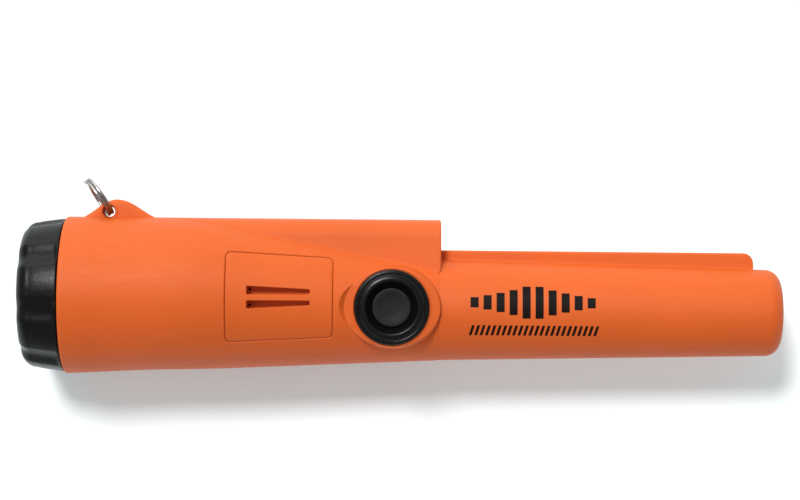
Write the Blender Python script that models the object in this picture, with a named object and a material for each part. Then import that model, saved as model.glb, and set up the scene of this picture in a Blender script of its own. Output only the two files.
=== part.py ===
"""A handheld pinpointer: a metal-finding probe with a screw-off battery cap.

Frame: +X runs from the battery cap to the probe's tip, +Z is the button side, and +Y is
the side of the straight spine and the lanyard lug. The origin is on the flat land under
the handle, below the axis of the cap's thread. Sizes are millimetres up to the moment a
mesh becomes an object, where MM turns them into metres.
"""

import math

import bmesh
import bpy
from mathutils import Vector

MM = 0.001
GAP = 0.3  # air between two pieces that touch

# Stations along the axis
CAP_REAR_X = -60.0
SEAM_X = -47.3  # the cap meets the handle
TAPER_X = -6.1  # the grip starts to taper away from the spine
STEP_X = 66.0  # front face of the spine
TUBE_REAR_X = 65.3  # the handle's round front end
TIP_X = 169.0

AXIS_Z = 24.4  # height of the cap's and the tube's axes over the land
TUBE_Y = -3.5  # the tube's axis lies this far off the cap's

# Handle
SPINE_TOP_Y = 23.8
SPINE_HALF_WIDTH = 10.2
SPINE_CORNER = 5.5
GRIP_EDGE = ((SEAM_X, -23.8), (-19.0, -22.3), (TAPER_X, -22.2), (STEP_X, -18.8))  # its -Y line
GRIP_FRONT_RADIUS = 15.3
WALL = 2.6
LAND_REAR_X, LAND_FRONT_X = -40.0, 48.0
LAND_HALF_WIDTH = 8.0
LUG_X, LUG_REAR, LUG_FRONT = -33.2, 8.9, 13.4  # its peak, and its reach to each foot
LUG_HEIGHT = 5.3
LUG_THICKNESS = 6.0
LUG_HOLE = (-34.5, 25.4)
LUG_HOLE_RADIUS = 2.1

# Screw thread between cap and handle
THREAD_PITCH = 3.0
THREAD_WAVE = 0.45  # half the height from root to crest
SPIGOT_RADIUS = 19.3
BORE_RADIUS = SPIGOT_RADIUS + 0.35
THREAD_REAR_X, THREAD_FRONT_X = -44.8, -38.2
SEAL_BORE_RADIUS = 20.45

# Battery cap
CAP_LOBES = 8
CAP_LAND_ANGLE = 78.5  # degrees from +Y towards +Z to the middle of a lobe
CAP_FACE_RADIUS = 18.0
CAP_CORNER = 4.0
CAP_FLARE = 1.2  # from the corner's end to the seam
GROOVE_DEPTH = 1.2
GROOVE_WIDTH = 20.0  # degrees
CAP_BORE_RADIUS = 17.2

# Probe tube
TUBE_RADIUS, TUBE_TIP_RADIUS = 15.25, 13.1
TIP_CORNER = 4.6
RIB_TOP_Y = 14.6
RIB_HALF_WIDTH = 1.5
RIB_FRONT_X = 160.8
SPIGOT_REAR_X = 56.0
TUBE_SPIGOT_RADIUS = 11.8
TUBE_BORE_RADIUS = 10.2
TUBE_BORE_END_X = 164.6

# Button, on an axis parallel to Z
BUTTON_X, BUTTON_Y = 51.3, -2.5
PAD_Z = 41.4
PAD_X, PAD_LONG, PAD_WIDE = 51.5, 14.4, 11.9  # centre and half axes of the flat pad
PAD_SLOPE = 1.8
BEZEL_RADIUS = 11.2
BEZEL_NECK = 8.6
BEZEL_FLOOR_Z = 38.6
BUTTON_RADIUS = 5.8
BUTTON_TOP_Z = 42.2
STEM_RADIUS = 1.9
SPRING_COIL_RADIUS = 4.0

# Speaker and its cover
COVER_REAR_X, COVER_FRONT_X = 2.1, 33.8
COVER_REAR_HALF, COVER_FRONT_HALF = 13.45, 11.75
COVER_Y = 0.2
COVER_CORNER = 1.8
COVER_THICKNESS = 1.2
SLOT_REAR_X, SLOT_FRONT_X = 8.5, 27.0
SLOT_FLOOR_Z = 42.8
BOSS_Z = 41.3
SPEAKER_X = 18.5

# Battery
BATTERY_REAR_X = -42.6
BATTERY_LENGTH, BATTERY_WIDTH, BATTERY_HEIGHT = 45.5, 26.5, 17.5
TERMINAL_Y = 6.35
SLEEVE_RADIUS = 18.4

# Electronics
BOARD_Z, BOARD_THICKNESS = 28.0, 1.6
BOARD_REAR_X, BOARD_FRONT_X = 11.0, 55.0
BOARD_LEFT_Y, BOARD_RIGHT_Y = -12.0, 7.0
SCREW_SPOTS = {"rear": (13.5, -9.5), "middle": (32.0, 4.8), "front": (42.0, -10.2)}
MOTOR_Y, MOTOR_Z = -2.0, 20.4
LED_Y = 17.8

# Split ring through the lug
RING_RADIUS = 6.1
RING_WIRE = 0.5
RING_PITCH = 1.04
RING_HEADING = 125.0  # degrees from +X, the way the ring lies out of the lug
RING_TILT = 12.0

# Coils in the tube
FERRITE_RADIUS = 4.5


def clear_scene():
    for ob in list(bpy.data.objects):
        bpy.data.objects.remove(ob, do_unlink=True)


def principled(name, color, roughness, metallic=0.0):
    material = bpy.data.materials.new(name)
    material.use_nodes = True
    shader = material.node_tree.nodes["Principled BSDF"]
    shader.inputs["Base Color"].default_value = (*color, 1.0)
    shader.inputs["Roughness"].default_value = roughness
    shader.inputs["Metallic"].default_value = metallic
    return material


def circle(axis, centre, along, radius, sides, start=0.0):
    """A ring of points about an X or Z axis through centre, at a place along it."""
    points = []
    for i in range(sides):
        angle = start + math.tau * i / sides
        u, v = radius * math.cos(angle), radius * math.sin(angle)
        if axis == "X":
            points.append((along, centre[0] + u, centre[1] + v))
        else:
            points.append((centre[0] + u, centre[1] + v, along))
    return points


def loft(rings, looped=False):
    """A closed skin through rings of equal length: flat ends, or looped into a hoop."""
    bm = bmesh.new()
    rows = [[bm.verts.new(point) for point in ring] for ring in rings]
    pairs = list(zip(rows, rows[1:]))
    if looped:
        pairs.append((rows[-1], rows[0]))
    for row, after in pairs:
        for i in range(len(row)):
            j = (i + 1) % len(row)
            bm.faces.new((row[i], row[j], after[j], after[i]))
    if not looped:
        bm.faces.new(rows[0])
        bm.faces.new(list(reversed(rows[-1])))
    bent = [face for face in bm.faces if len(face.verts) == 4]
    bmesh.ops.triangulate(bm, faces=bent)
    bmesh.ops.recalc_face_normals(bm, faces=bm.faces)
    return bm


def turned(axis, centre, profile, sides=32):
    """A solid turned about an axis from (along, radius) points, end to end."""
    return loft([circle(axis, centre, a, r, sides) for a, r in profile])


def hoop(axis, centre, profile, sides=32):
    """A ring-shaped solid turned from a closed loop of (along, radius) points."""
    return loft([circle(axis, centre, a, r, sides) for a, r in profile], looped=True)


def round_bead(axis, centre, along, radius, wire, sides=32, facets=6):
    """A ring of round section, such as an O-ring."""
    turns = [math.tau * (i + 0.5) / facets for i in range(facets)]
    profile = [(along + wire * math.cos(t), radius + wire * math.sin(t)) for t in turns]
    return hoop(axis, centre, profile, sides)


def prism(outline, low, high):
    """An (x, y) outline raised from z = low to z = high."""
    return loft([[(x, y, low) for x, y in outline], [(x, y, high) for x, y in outline]])


def block(x, y, z):
    """A box between pairs of limits."""
    return prism([(x[0], y[0]), (x[1], y[0]), (x[1], y[1]), (x[0], y[1])], *z)


def arc(centre, radius, start, end, steps):
    """Points on an arc in a plane, between two angles in degrees."""
    spots = []
    for i in range(steps + 1):
        angle = math.radians(start + (end - start) * i / steps)
        spots.append((centre[0] + radius * math.cos(angle), centre[1] + radius * math.sin(angle)))
    return spots


def as_object(name, bm, material=None, pivot=(0.0, 0.0, 0.0)):
    """An object with its origin at pivot. Without a material it is a cutter or a guide."""
    bmesh.ops.translate(bm, verts=bm.verts, vec=-Vector(pivot))
    bmesh.ops.scale(bm, verts=bm.verts, vec=(MM, MM, MM))
    mesh = bpy.data.meshes.new(name)
    bm.to_mesh(mesh)
    bm.free()
    ob = bpy.data.objects.new(name, mesh)
    ob.location = Vector(pivot) * MM
    bpy.context.scene.collection.objects.link(ob)
    if material:
        mesh.materials.append(material)
        mesh.shade_smooth()
        mesh.set_sharp_from_angle(angle=math.radians(32))
    else:
        ob.hide_render = True
        ob.display_type = "WIRE"
    return ob


def combine(target, operation, name, bm):
    """Adds a Boolean with a hidden tool solid."""
    tool = as_object(name, bm)
    change = target.modifiers.new(name, "BOOLEAN")
    change.operation = operation
    change.solver = "EXACT"
    change.object = tool
    return tool


def cut(target, name, bm):
    return combine(target, "DIFFERENCE", name, bm)


def fuse(target, name, bm):
    return combine(target, "UNION", name, bm)


def mix(a, b, share):
    return a + (b - a) * share


def grip_edge(x):
    """The handle's -Y line, straight between its named points."""
    for (x0, y0), (x1, y1) in zip(GRIP_EDGE, GRIP_EDGE[1:]):
        if x <= x1:
            break
    return mix(y0, y1, (x - x0) / (x1 - x0))


def barrel(x):
    """Centre y and radius of the full barrel, which the spine keeps up to the step."""
    edge = grip_edge(x)
    return (SPINE_TOP_Y + edge) / 2, (SPINE_TOP_Y - edge) / 2


def grip(x):
    """Centre y and radius of the tapering grip."""
    if x <= TAPER_X:
        return barrel(x)
    radius = mix(barrel(TAPER_X)[1], GRIP_FRONT_RADIUS, (x - TAPER_X) / (STEP_X - TAPER_X))
    return grip_edge(x) + radius, radius


def spine_half(x):
    """Points from the spine's crown down one side: crown arc, corner arc, wall."""
    middle, radius = barrel(x)
    reach = SPINE_HALF_WIDTH - SPINE_CORNER
    corner_y = middle + math.sqrt((radius - SPINE_CORNER) ** 2 - reach**2)
    lean = math.degrees(math.atan2(reach, corner_y - middle))
    crown = arc((middle, 0.0), radius, 0.0, lean, 8)
    corner = arc((corner_y, reach), SPINE_CORNER, lean, 90.0, 24)
    wall = [(mix(corner_y, middle, i / 40), SPINE_HALF_WIDTH) for i in range(1, 41)]
    return crown, corner + wall


def spread(points, count):
    """The same line with count evenly spaced points, ends kept."""
    lengths = [0.0]
    for a, b in zip(points, points[1:]):
        lengths.append(lengths[-1] + math.dist(a, b))
    spots = []
    for i in range(count):
        want = lengths[-1] * i / (count - 1)
        k = next(j for j in range(1, len(points)) if lengths[j] >= want - 1e-9)
        share = (want - lengths[k - 1]) / (lengths[k] - lengths[k - 1])
        spots.append(tuple(mix(p, q, share) for p, q in zip(points[k - 1], points[k])))
    return spots


def handle_section(x, inset=0.0):
    """The handle's outline at x: the grip's circle with the spine standing out of it."""
    middle, radius = grip(x)
    crown, side = spine_half(x)
    outer = [side[0]]
    for point in side[1:]:
        if math.dist(point, (middle, 0.0)) < radius:
            break
        outer.append(point)
    half = crown[:-1:2] + spread(outer, 7) if len(outer) > 1 else crown[:-1:2] + [side[0]] * 7
    if len(outer) == 1:
        half = spread(arc((middle, 0.0), radius, 0.0, 30.0, 12), 11)
    turn = math.degrees(math.atan2(half[-1][1], half[-1][0] - middle))
    half += arc((middle, 0.0), radius, turn, 180.0, 20)[1:]
    shrink = 1.0 - inset / radius
    half = [(middle + (y - middle) * shrink, z * shrink) for y, z in half]
    whole = half + [(y, -z) for y, z in reversed(half[1:-1])]
    return [(x, y, AXIS_Z + z) for y, z in whole]


def handle_blank(rear, front, inset=0.0):
    """The handle's outer form between two stations, shrunk evenly by inset."""
    inner = (-46.9, -33.0, -19.0, TAPER_X, -4.5, -1.5, 4.0, 12.0, 24.0, 38.0, 52.0)
    stations = [rear, *(x for x in inner if rear < x < front), front]
    return loft([handle_section(x, inset) for x in stations])


def thread_row(x, radius, raised, strength, sides):
    """One ring of a screw thread. Where strength falls the crests, or roots, fade out."""
    ring = []
    for i in range(sides):
        angle = math.tau * i / sides
        wave = math.cos(math.tau * x / THREAD_PITCH - angle)
        level = strength * wave + (1.0 - strength) * raised
        r = radius + THREAD_WAVE * level
        ring.append((x, r * math.cos(angle), AXIS_Z + r * math.sin(angle)))
    return ring


def thread(radius, raised, rear, front, sides=32, rows=12):
    """Rings of thread from rear to front, fading over the first and last pair."""
    rings = []
    for i in range(rows):
        strength = min(1.0, i / 2, (rows - 1 - i) / 2)
        rings.append(thread_row(mix(rear, front, i / (rows - 1)), radius, raised, strength, sides))
    return rings


def handle_interior():
    """The open inside: seal seat, internal thread, battery room and tapering front."""
    axis = (0.0, AXIS_Z)
    rings = [circle("X", axis, SEAM_X - 2.0, SEAL_BORE_RADIUS, 32)]
    rings.append(circle("X", axis, THREAD_REAR_X - 0.1, SEAL_BORE_RADIUS, 32))
    rings += thread(BORE_RADIUS, 1.0, THREAD_REAR_X, THREAD_FRONT_X + 0.6)
    for x in (-37.3, TAPER_X, 54.0):
        middle, radius = grip(x)
        rings.append(circle("X", (middle, AXIS_Z), x, min(radius - WALL, 20.4), 32))
    return loft(rings)


def ellipse(centre, long, wide, steps):
    turns = [math.tau * i / steps for i in range(steps)]
    return [(centre[0] + long * math.cos(t), centre[1] + wide * math.sin(t)) for t in turns]


def pad_recess():
    """Clears the grip's slope above the button's flat pad."""
    centre = (PAD_X, BUTTON_Y)
    low = ellipse(centre, PAD_LONG, PAD_WIDE, 40)
    high = ellipse(centre, PAD_LONG + PAD_SLOPE * 2, PAD_WIDE + PAD_SLOPE * 2, 40)
    return loft([[(x, y, PAD_Z) for x, y in low], [(x, y, PAD_Z + 4.0) for x, y in high]])


def cover_outline(grow=0.0):
    """The speaker cover's outline from above: a slightly tapering rounded rectangle."""
    rear, front = COVER_REAR_X - grow, COVER_FRONT_X + grow
    wide, narrow = COVER_REAR_HALF + grow, COVER_FRONT_HALF + grow
    r = COVER_CORNER + grow
    y = COVER_Y
    points = arc((front - r, y + narrow - r), r, 85, 0, 4)
    points += arc((front - r, y - narrow + r), r, 0, -85, 4)
    points += arc((rear + r, y - wide + r), r, -95, -180, 4)
    points += arc((rear + r, y + wide - r), r, 180, 95, 4)
    return points


def lug():
    """The lanyard lug: a plate whose edge rises in a smooth bump over the barrel."""
    steps = 18
    edge = []
    for i in range(steps + 1):
        x = mix(LUG_X - LUG_REAR, LUG_X + LUG_FRONT, i / steps)
        reach = LUG_REAR if x < LUG_X else LUG_FRONT
        rise = LUG_HEIGHT * (0.5 + 0.5 * math.cos(math.pi * (x - LUG_X) / reach))
        edge.append((x, SPINE_TOP_Y - 0.5 + rise))
    edge += [(LUG_X + LUG_FRONT, SPINE_TOP_Y - 5.0), (LUG_X - LUG_REAR, SPINE_TOP_Y - 5.0)]
    return prism(edge, AXIS_Z - LUG_THICKNESS / 2, AXIS_Z + LUG_THICKNESS / 2)


def land():
    """The flat land under the handle that it rests on, button up."""
    low, high = LAND_HALF_WIDTH, LAND_HALF_WIDTH + 2.0
    rear, front = LAND_REAR_X, LAND_FRONT_X
    bottom = [(rear, -low, 0), (front, -low, 0), (front, low, 0), (rear, low, 0)]
    top = [(rear - 2, -high, 13), (front + 2, -high, 13), (front + 2, high, 13), (rear - 2, high, 13)]
    return loft([bottom, top])


def make_handle(material):
    housing = as_object("handle_housing", handle_blank(SEAM_X, STEP_X), material)
    fuse(housing, "land_form", land())
    fuse(housing, "lug_form", lug())
    pad = ellipse((PAD_X, BUTTON_Y), PAD_LONG, PAD_WIDE, 40)
    fuse(housing, "pad_form", prism(pad, AXIS_Z + 4.0, PAD_Z))
    cut(housing, "pad_recess", pad_recess())
    cut(housing, "handle_interior", handle_interior())
    tube_axis = (TUBE_Y, AXIS_Z)
    bore = [(50.0, TUBE_SPIGOT_RADIUS + GAP), (70.0, TUBE_SPIGOT_RADIUS + GAP)]
    cut(housing, "tube_socket", turned("X", tube_axis, bore, 40))
    relief = [(TUBE_REAR_X, TUBE_RADIUS + 0.4), (70.0, TUBE_RADIUS + 0.4)]
    cut(housing, "tube_relief", turned("X", tube_axis, relief, 48))
    neck = [(AXIS_Z + 13.0, BEZEL_NECK + GAP), (PAD_Z + 5.0, BEZEL_NECK + GAP)]
    cut(housing, "bezel_hole", turned("Z", (BUTTON_X, BUTTON_Y), neck, 40))
    hole = [(AXIS_Z - 8.0, LUG_HOLE_RADIUS), (AXIS_Z + 8.0, LUG_HOLE_RADIUS)]
    cut(housing, "lug_hole", turned("Z", LUG_HOLE, hole, 24))
    led = [(20.0, 2.9), (63.6, 2.9), (63.6, 3.5), (70.0, 3.5)]
    cut(housing, "led_bore", turned("X", (LED_Y, AXIS_Z), led, 20))
    pocket = cut(housing, "cover_pocket", prism(cover_outline(0.35), AXIS_Z + 8.0, AXIS_Z + 30.0))
    cut(pocket, "cover_seat", handle_blank(-3.0, 40.0, COVER_THICKNESS + GAP))
    boss = (SLOT_REAR_X - 2.5, SLOT_FRONT_X + 2.5), (COVER_Y - 6.0, COVER_Y + 6.0)
    cut(housing, "sound_window", block(*boss, (AXIS_Z + 10.0, AXIS_Z + 30.0)))
    return housing


def make_cover(material):
    """The flush speaker cover: a curved plate with a thicker boss under its two slots."""
    cover = as_object("speaker_cover", prism(cover_outline(), AXIS_Z + 8.0, AXIS_Z + 30.0), material)
    combine(cover, "INTERSECT", "cover_face", handle_blank(-3.0, 40.0))
    under = cut(cover, "cover_back", handle_blank(-4.0, 41.0, COVER_THICKNESS))
    boss = (SLOT_REAR_X - 2.0, SLOT_FRONT_X + 2.0), (COVER_Y - 5.5, COVER_Y + 5.5)
    cut(under, "cover_boss", block(*boss, (BOSS_Z, AXIS_Z + 40.0)))
    for name, side, inner, rear, front in (("upper", 1, 0.9, 3.3, 2.35), ("lower", -1, 1.0, 3.3, 2.25)):
        sides = [(SLOT_REAR_X, inner), (SLOT_FRONT_X, inner), (SLOT_FRONT_X, front), (SLOT_REAR_X, rear)]
        outline = [(x, COVER_Y + side * y) for x, y in sides]
        cut(cover, f"slot_{name}", prism(outline, SLOT_FLOOR_Z, AXIS_Z + 30.0))
        port = [(BOSS_Z - 2.0, 0.8), (SLOT_FLOOR_Z + 1.0, 0.8)]
        spot = (SLOT_REAR_X + 1.6, COVER_Y + side * 2.1)
        cut(cover, f"sound_port_{name}", turned("Z", spot, port, 12))
    return cover


def cap_ring(x, radius, depth):
    """One ring of the lobed cap, with a scalloped groove between each pair of lobes."""
    sides = 9 * CAP_LOBES
    points = []
    for i in range(sides):
        from_land = (i * 360.0 / sides) % (360.0 / CAP_LOBES)
        from_groove = abs(from_land - 180.0 / CAP_LOBES)
        share = max(0.0, 1.0 - (2.0 * from_groove / GROOVE_WIDTH) ** 2)
        angle = math.radians(CAP_LAND_ANGLE + i * 360.0 / sides)
        r = radius - depth * share
        points.append((x, r * math.cos(angle), AXIS_Z + r * math.sin(angle)))
    return points


def make_cap(material):
    """The screw-off battery cap: lobed head, sealing groove and threaded spigot."""
    front = SEAM_X - GAP
    rings = [cap_ring(CAP_REAR_X, CAP_FACE_RADIUS, GROOVE_DEPTH)]
    for along, out in arc((CAP_CORNER, 0.0), CAP_CORNER, 157.5, 90.0, 3):
        rings.append(cap_ring(CAP_REAR_X + along, CAP_FACE_RADIUS + out, GROOVE_DEPTH))
    wide = CAP_FACE_RADIUS + CAP_CORNER + CAP_FLARE
    rings.append(cap_ring(front - 0.9, wide - 0.05, GROOVE_DEPTH))
    rings.append(cap_ring(front, wide, 0.0))
    cap = as_object("battery_cap", loft(rings), material, (0.0, 0.0, AXIS_Z))
    axis = (0.0, AXIS_Z)
    root = SPIGOT_RADIUS - THREAD_WAVE
    spigot = [circle("X", axis, front - 2.0, root, 32), circle("X", axis, -46.95, root, 32)]
    spigot += [circle("X", axis, x, 18.2, 32) for x in (-46.9, -45.1)]
    spigot += thread(SPIGOT_RADIUS, -1.0, THREAD_REAR_X - 0.1, THREAD_FRONT_X - 0.2)
    spigot.append(circle("X", axis, -37.6, root - 0.6, 32))
    fuse(cap, "spigot_form", loft(spigot))
    hollow = [(CAP_REAR_X + 3.0, CAP_BORE_RADIUS), (-36.0, CAP_BORE_RADIUS)]
    cut(cap, "cap_hollow", turned("X", axis, hollow, 32))
    slot = arc((CAP_REAR_X - 16.6, 0.0), 18.2, -46.0, 46.0, 12)
    slot = [(x, y) for x, y in slot] + [(CAP_REAR_X - 5.0, 15.0), (CAP_REAR_X - 5.0, -15.0)]
    cut(cap, "coin_slot", prism(slot, AXIS_Z - 1.2, AXIS_Z + 1.2))
    return cap


def make_cap_fittings(rubber, foam):
    axis = (0.0, AXIS_Z)
    as_object("cap_o_ring", round_bead("X", axis, -46.0, 19.32, 0.8), rubber, (0.0, 0.0, AXIS_Z))
    pad = [(CAP_REAR_X + 3.4, 11.0), (BATTERY_REAR_X - GAP, 14.0)]
    as_object("cap_pressure_pad", turned("X", axis, pad, 32), foam, (0.0, 0.0, AXIS_Z))


def make_tube(material, rubber):
    axis = (TUBE_Y, AXIS_Z)
    rear = TUBE_REAR_X + GAP
    profile = [(SPIGOT_REAR_X, TUBE_SPIGOT_RADIUS - 0.4), (SPIGOT_REAR_X + 0.5, TUBE_SPIGOT_RADIUS)]
    profile += [(60.2, TUBE_SPIGOT_RADIUS), (60.2, 10.95), (62.2, 10.95), (62.2, TUBE_SPIGOT_RADIUS)]
    profile += [(rear, TUBE_SPIGOT_RADIUS), (rear, TUBE_RADIUS - 0.25), (rear + 0.25, TUBE_RADIUS)]
    tip = arc((TIP_X - TIP_CORNER, TUBE_TIP_RADIUS - TIP_CORNER), TIP_CORNER, 90.0, 0.0, 6)
    tube = as_object("probe_tube", turned("X", axis, profile + tip, 48), material)
    corner = arc((RIB_FRONT_X - 3.0, RIB_TOP_Y - 3.0), 3.0, 90.0, 0.0, 5)
    rib = [(STEP_X + GAP, TUBE_Y + 12.2), (STEP_X + GAP, RIB_TOP_Y), *corner]
    rib.append((RIB_FRONT_X, TUBE_Y + 12.2))
    fuse(tube, "rib_form", prism(rib, AXIS_Z - RIB_HALF_WIDTH, AXIS_Z + RIB_HALF_WIDTH))
    bore = [(50.0, TUBE_BORE_RADIUS), (TUBE_BORE_END_X, TUBE_BORE_RADIUS)]
    cut(tube, "tube_bore", turned("X", axis, bore, 40))
    as_object("tube_o_ring", round_bead("X", axis, 61.2, 11.6, 0.35, 24, 5), rubber)


def make_button(black, rubber, steel):
    centre = (BUTTON_X, BUTTON_Y)
    base = PAD_Z + GAP
    floor = BEZEL_FLOOR_Z
    bezel = [(base, BEZEL_NECK), (base, BEZEL_RADIUS), (base + 0.7, BEZEL_RADIUS)]
    bezel += [(base + 1.15, 10.6), (base + 1.25, 10.0), (base + 1.7, 9.4), (base + 2.0, 8.5)]
    bezel += [(base + 1.85, 7.8), (base + 0.3, 6.9), (base, 6.15), (floor, 6.15)]
    bezel += [(floor, STEM_RADIUS + 0.4), (floor - 1.0, STEM_RADIUS + 0.4), (floor - 1.0, BEZEL_NECK)]
    as_object("button_bezel", hoop("Z", centre, bezel, 32), black)
    cap = [(34.9, STEM_RADIUS), (41.0, STEM_RADIUS), (41.0, BUTTON_RADIUS - 0.2)]
    cap += [(41.2, BUTTON_RADIUS), (41.9, BUTTON_RADIUS), (BUTTON_TOP_Z, BUTTON_RADIUS - 0.4)]
    cap += [(BUTTON_TOP_Z - 0.25, 3.0)]
    pivot = (BUTTON_X, BUTTON_Y, BUTTON_TOP_Z)
    as_object("button_cap", turned("Z", centre, cap, 28), rubber, pivot)
    spring_low, spring_high = floor + GAP + 0.2, 41.0 - GAP - 0.2
    path = []
    turns, per_turn = 2.5, 12
    for i in range(int(turns * per_turn) + 1):
        angle = math.tau * i / per_turn
        x = BUTTON_X + SPRING_COIL_RADIUS * math.cos(angle)
        y = BUTTON_Y + SPRING_COIL_RADIUS * math.sin(angle)
        path.append(Vector((x, y, mix(spring_low, spring_high, i / (turns * per_turn)))))
    axis = Vector((0.0, 0.0, 1.0))
    as_object("button_spring", wire(path, axis, 0.2, 5), steel)


def wire(path, axis, radius, facets):
    """A round wire along a coil's path: each ring is square to the coil's own run."""
    rings = []
    for i, spot in enumerate(path):
        ahead = path[min(i + 1, len(path) - 1)] - path[max(i - 1, 0)]
        out = ahead.cross(axis).normalized()
        up = out.cross(ahead).normalized()
        turns = [math.tau * k / facets for k in range(facets)]
        rings.append([tuple(spot + radius * (out * math.cos(t) + up * math.sin(t))) for t in turns])
    return loft(rings)


def make_split_ring(steel):
    """Two close turns of wire, hung through the lug's hole and tilted on it."""
    heading = math.radians(RING_HEADING)
    out = Vector((math.cos(heading), math.sin(heading), 0.0))
    side = Vector((-math.sin(heading), math.cos(heading), 0.0))
    tilt = math.radians(RING_TILT)
    axis = side * math.cos(tilt) + Vector((0.0, 0.0, 1.0)) * math.sin(tilt)
    across = axis.cross(out).normalized()
    hole = Vector((LUG_HOLE[0], LUG_HOLE[1], AXIS_Z))
    centre = hole + out * (RING_RADIUS - 0.55)
    turns, per_turn = 1.93, 26
    count = int(turns * per_turn)
    path = []
    for i in range(count + 1):
        angle = math.tau * i / per_turn + math.radians(40.0)
        spot = centre + RING_RADIUS * (out * math.cos(angle) + across * math.sin(angle))
        path.append(spot + axis * RING_PITCH * (i / per_turn - turns / 2))
    as_object("split_ring", wire(path, axis, RING_WIRE, 8), steel, tuple(hole))


def make_battery(jacket, metal, sleeve_material):
    front = BATTERY_REAR_X + BATTERY_LENGTH
    half_y, half_z = BATTERY_WIDTH / 2, BATTERY_HEIGHT / 2
    limits = (-half_y, half_y), (AXIS_Z - half_z, AXIS_Z + half_z)
    as_object("battery", block((BATTERY_REAR_X, front), *limits), jacket)
    stud = [(front + GAP, 2.6), (front + 2.2, 2.6), (front + 2.7, 2.9), (front + 3.0, 2.6)]
    as_object("battery_stud", turned("X", (TERMINAL_Y, AXIS_Z), stud, 16), metal)
    cup = [(front + GAP, 4.1), (front + 3.0, 4.3), (front + 3.0, 3.3), (front + GAP, 3.3)]
    as_object("battery_cup", hoop("X", (-TERMINAL_Y, AXIS_Z), cup, 16), metal)
    body = [(-36.4, SLEEVE_RADIUS), (front + 0.1, SLEEVE_RADIUS)]
    sleeve = as_object("battery_sleeve", turned("X", (0.0, AXIS_Z), body, 40), sleeve_material)
    room = 0.4
    limits = (-half_y - room, half_y + room), (AXIS_Z - half_z - room, AXIS_Z + half_z + room)
    cut(sleeve, "battery_pocket", block((-60.0, 30.0), *limits))


def make_contacts(board_material, metal):
    front = BATTERY_REAR_X + BATTERY_LENGTH
    plate = front + 4.2
    disc = [(plate, 15.5), (plate + 1.6, 15.5)]
    as_object("contact_plate", turned("X", (0.0, AXIS_Z), disc, 32), board_material)
    clip = [(front + 0.6, 4.0), (plate - GAP, 4.0), (plate - GAP, 3.3), (front + 0.6, 3.3)]
    as_object("contact_clip", hoop("X", (TERMINAL_Y, AXIS_Z), clip, 16), metal)
    stud = [(front + 0.8, 2.5), (front + 1.3, 2.8), (front + 1.8, 2.5), (plate - GAP, 2.5)]
    as_object("contact_stud", turned("X", (-TERMINAL_Y, AXIS_Z), stud, 16), metal)


def make_speaker(frame_material, paper, metal, foam):
    centre = (SPEAKER_X, 0.0)
    seat = [(38.9, 7.4), (39.6, 7.4), (39.6, 5.8), (38.9, 5.8)]
    as_object("speaker_gasket", hoop("Z", centre, seat, 20), foam)
    cup = [(33.5, 8.4), (36.6, 9.2), (38.6, 9.2), (38.6, 7.9), (36.9, 7.9), (34.5, 6.4)]
    cup += [(34.5, 5.4), (33.5, 5.4)]
    as_object("speaker_frame", hoop("Z", centre, cup, 20), frame_material)
    cone = [(35.0, 3.2), (37.9, 7.4), (38.2, 7.4), (38.2, 6.9), (36.2, 2.2)]
    as_object("speaker_cone", turned("Z", centre, cone, 20), paper)
    magnet = [(31.2, 6.0), (33.2, 6.0)]
    as_object("speaker_magnet", turned("Z", centre, magnet, 24), metal)


def make_board(board_material, chip, metal, black):
    top = BOARD_Z + BOARD_THICKNESS
    spans = (BOARD_REAR_X, BOARD_FRONT_X), (BOARD_LEFT_Y, BOARD_RIGHT_Y)
    board = as_object("circuit_board", block(*spans, (BOARD_Z, top)), board_material)
    tray = chassis_tray(black)
    for name, spot in SCREW_SPOTS.items():
        hole = [(BOARD_Z - 9.0, 1.25), (top + 2.0, 1.25)]
        cut(board, f"board_hole_{name}", turned("Z", spot, hole, 12))
        cut(tray, f"tray_hole_{name}", turned("Z", spot, hole, 12))
        shank = [(BOARD_Z - 4.6, 0.85), (top + GAP, 0.85), (top + GAP, 2.0), (top + 1.3, 1.7)]
        as_object(f"board_screw_{name}", turned("Z", spot, shank, 14), metal)
    spot = (BUTTON_X - 20.0, BUTTON_Y - 4.0)
    body = (spot[0] - 4.0, spot[0] + 4.0), (spot[1] - 4.0, spot[1] + 4.0)
    as_object("control_chip", block(*body, (top + GAP, top + 1.6)), chip)
    can = [(top + GAP, 2.4), (top + 4.6, 2.4), (top + 5.0, 2.1)]
    as_object("reservoir_capacitor", turned("Z", (37.5, 3.5), can, 20), metal)
    switch = (BUTTON_X - 3.0, BUTTON_X + 3.0), (BUTTON_Y - 3.0, BUTTON_Y + 3.0)
    body = as_object("switch_body", block(*switch, (top + GAP, 33.5)), black)
    centre = (BUTTON_X, BUTTON_Y)
    cut(body, "switch_bore", turned("Z", centre, [(31.2, 2.0), (36.0, 2.0)], 16))
    pivot = (BUTTON_X, BUTTON_Y, 34.6)
    plunger = turned("Z", centre, [(32.3, 1.7), (34.6, 1.7)], 16)
    as_object("switch_plunger", plunger, metal, pivot)


def chassis_tray(material):
    """The tray under the board: a floor, a post at each screw and the motor's cradle."""
    spans = (BOARD_REAR_X, 52.0), (BOARD_LEFT_Y + 0.5, BOARD_RIGHT_Y - 0.5)
    tray = as_object("board_tray", block(*spans, (24.2, 25.6)), material)
    for name, (x, y) in SCREW_SPOTS.items():
        post = turned("Z", (x, y), [(24.8, 2.2), (BOARD_Z - GAP, 2.2)], 14)
        fuse(tray, f"tray_post_{name}", post)
    cradle = (37.5, 43.5), (MOTOR_Y - 4.4, MOTOR_Y + 4.4)
    fuse(tray, "motor_cradle", block(*cradle, (16.6, 24.6)))
    bore = [(30.0, 3.3), (50.0, 3.3)]
    cut(tray, "cradle_bore", turned("X", (MOTOR_Y, MOTOR_Z), bore, 20))
    return tray


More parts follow.
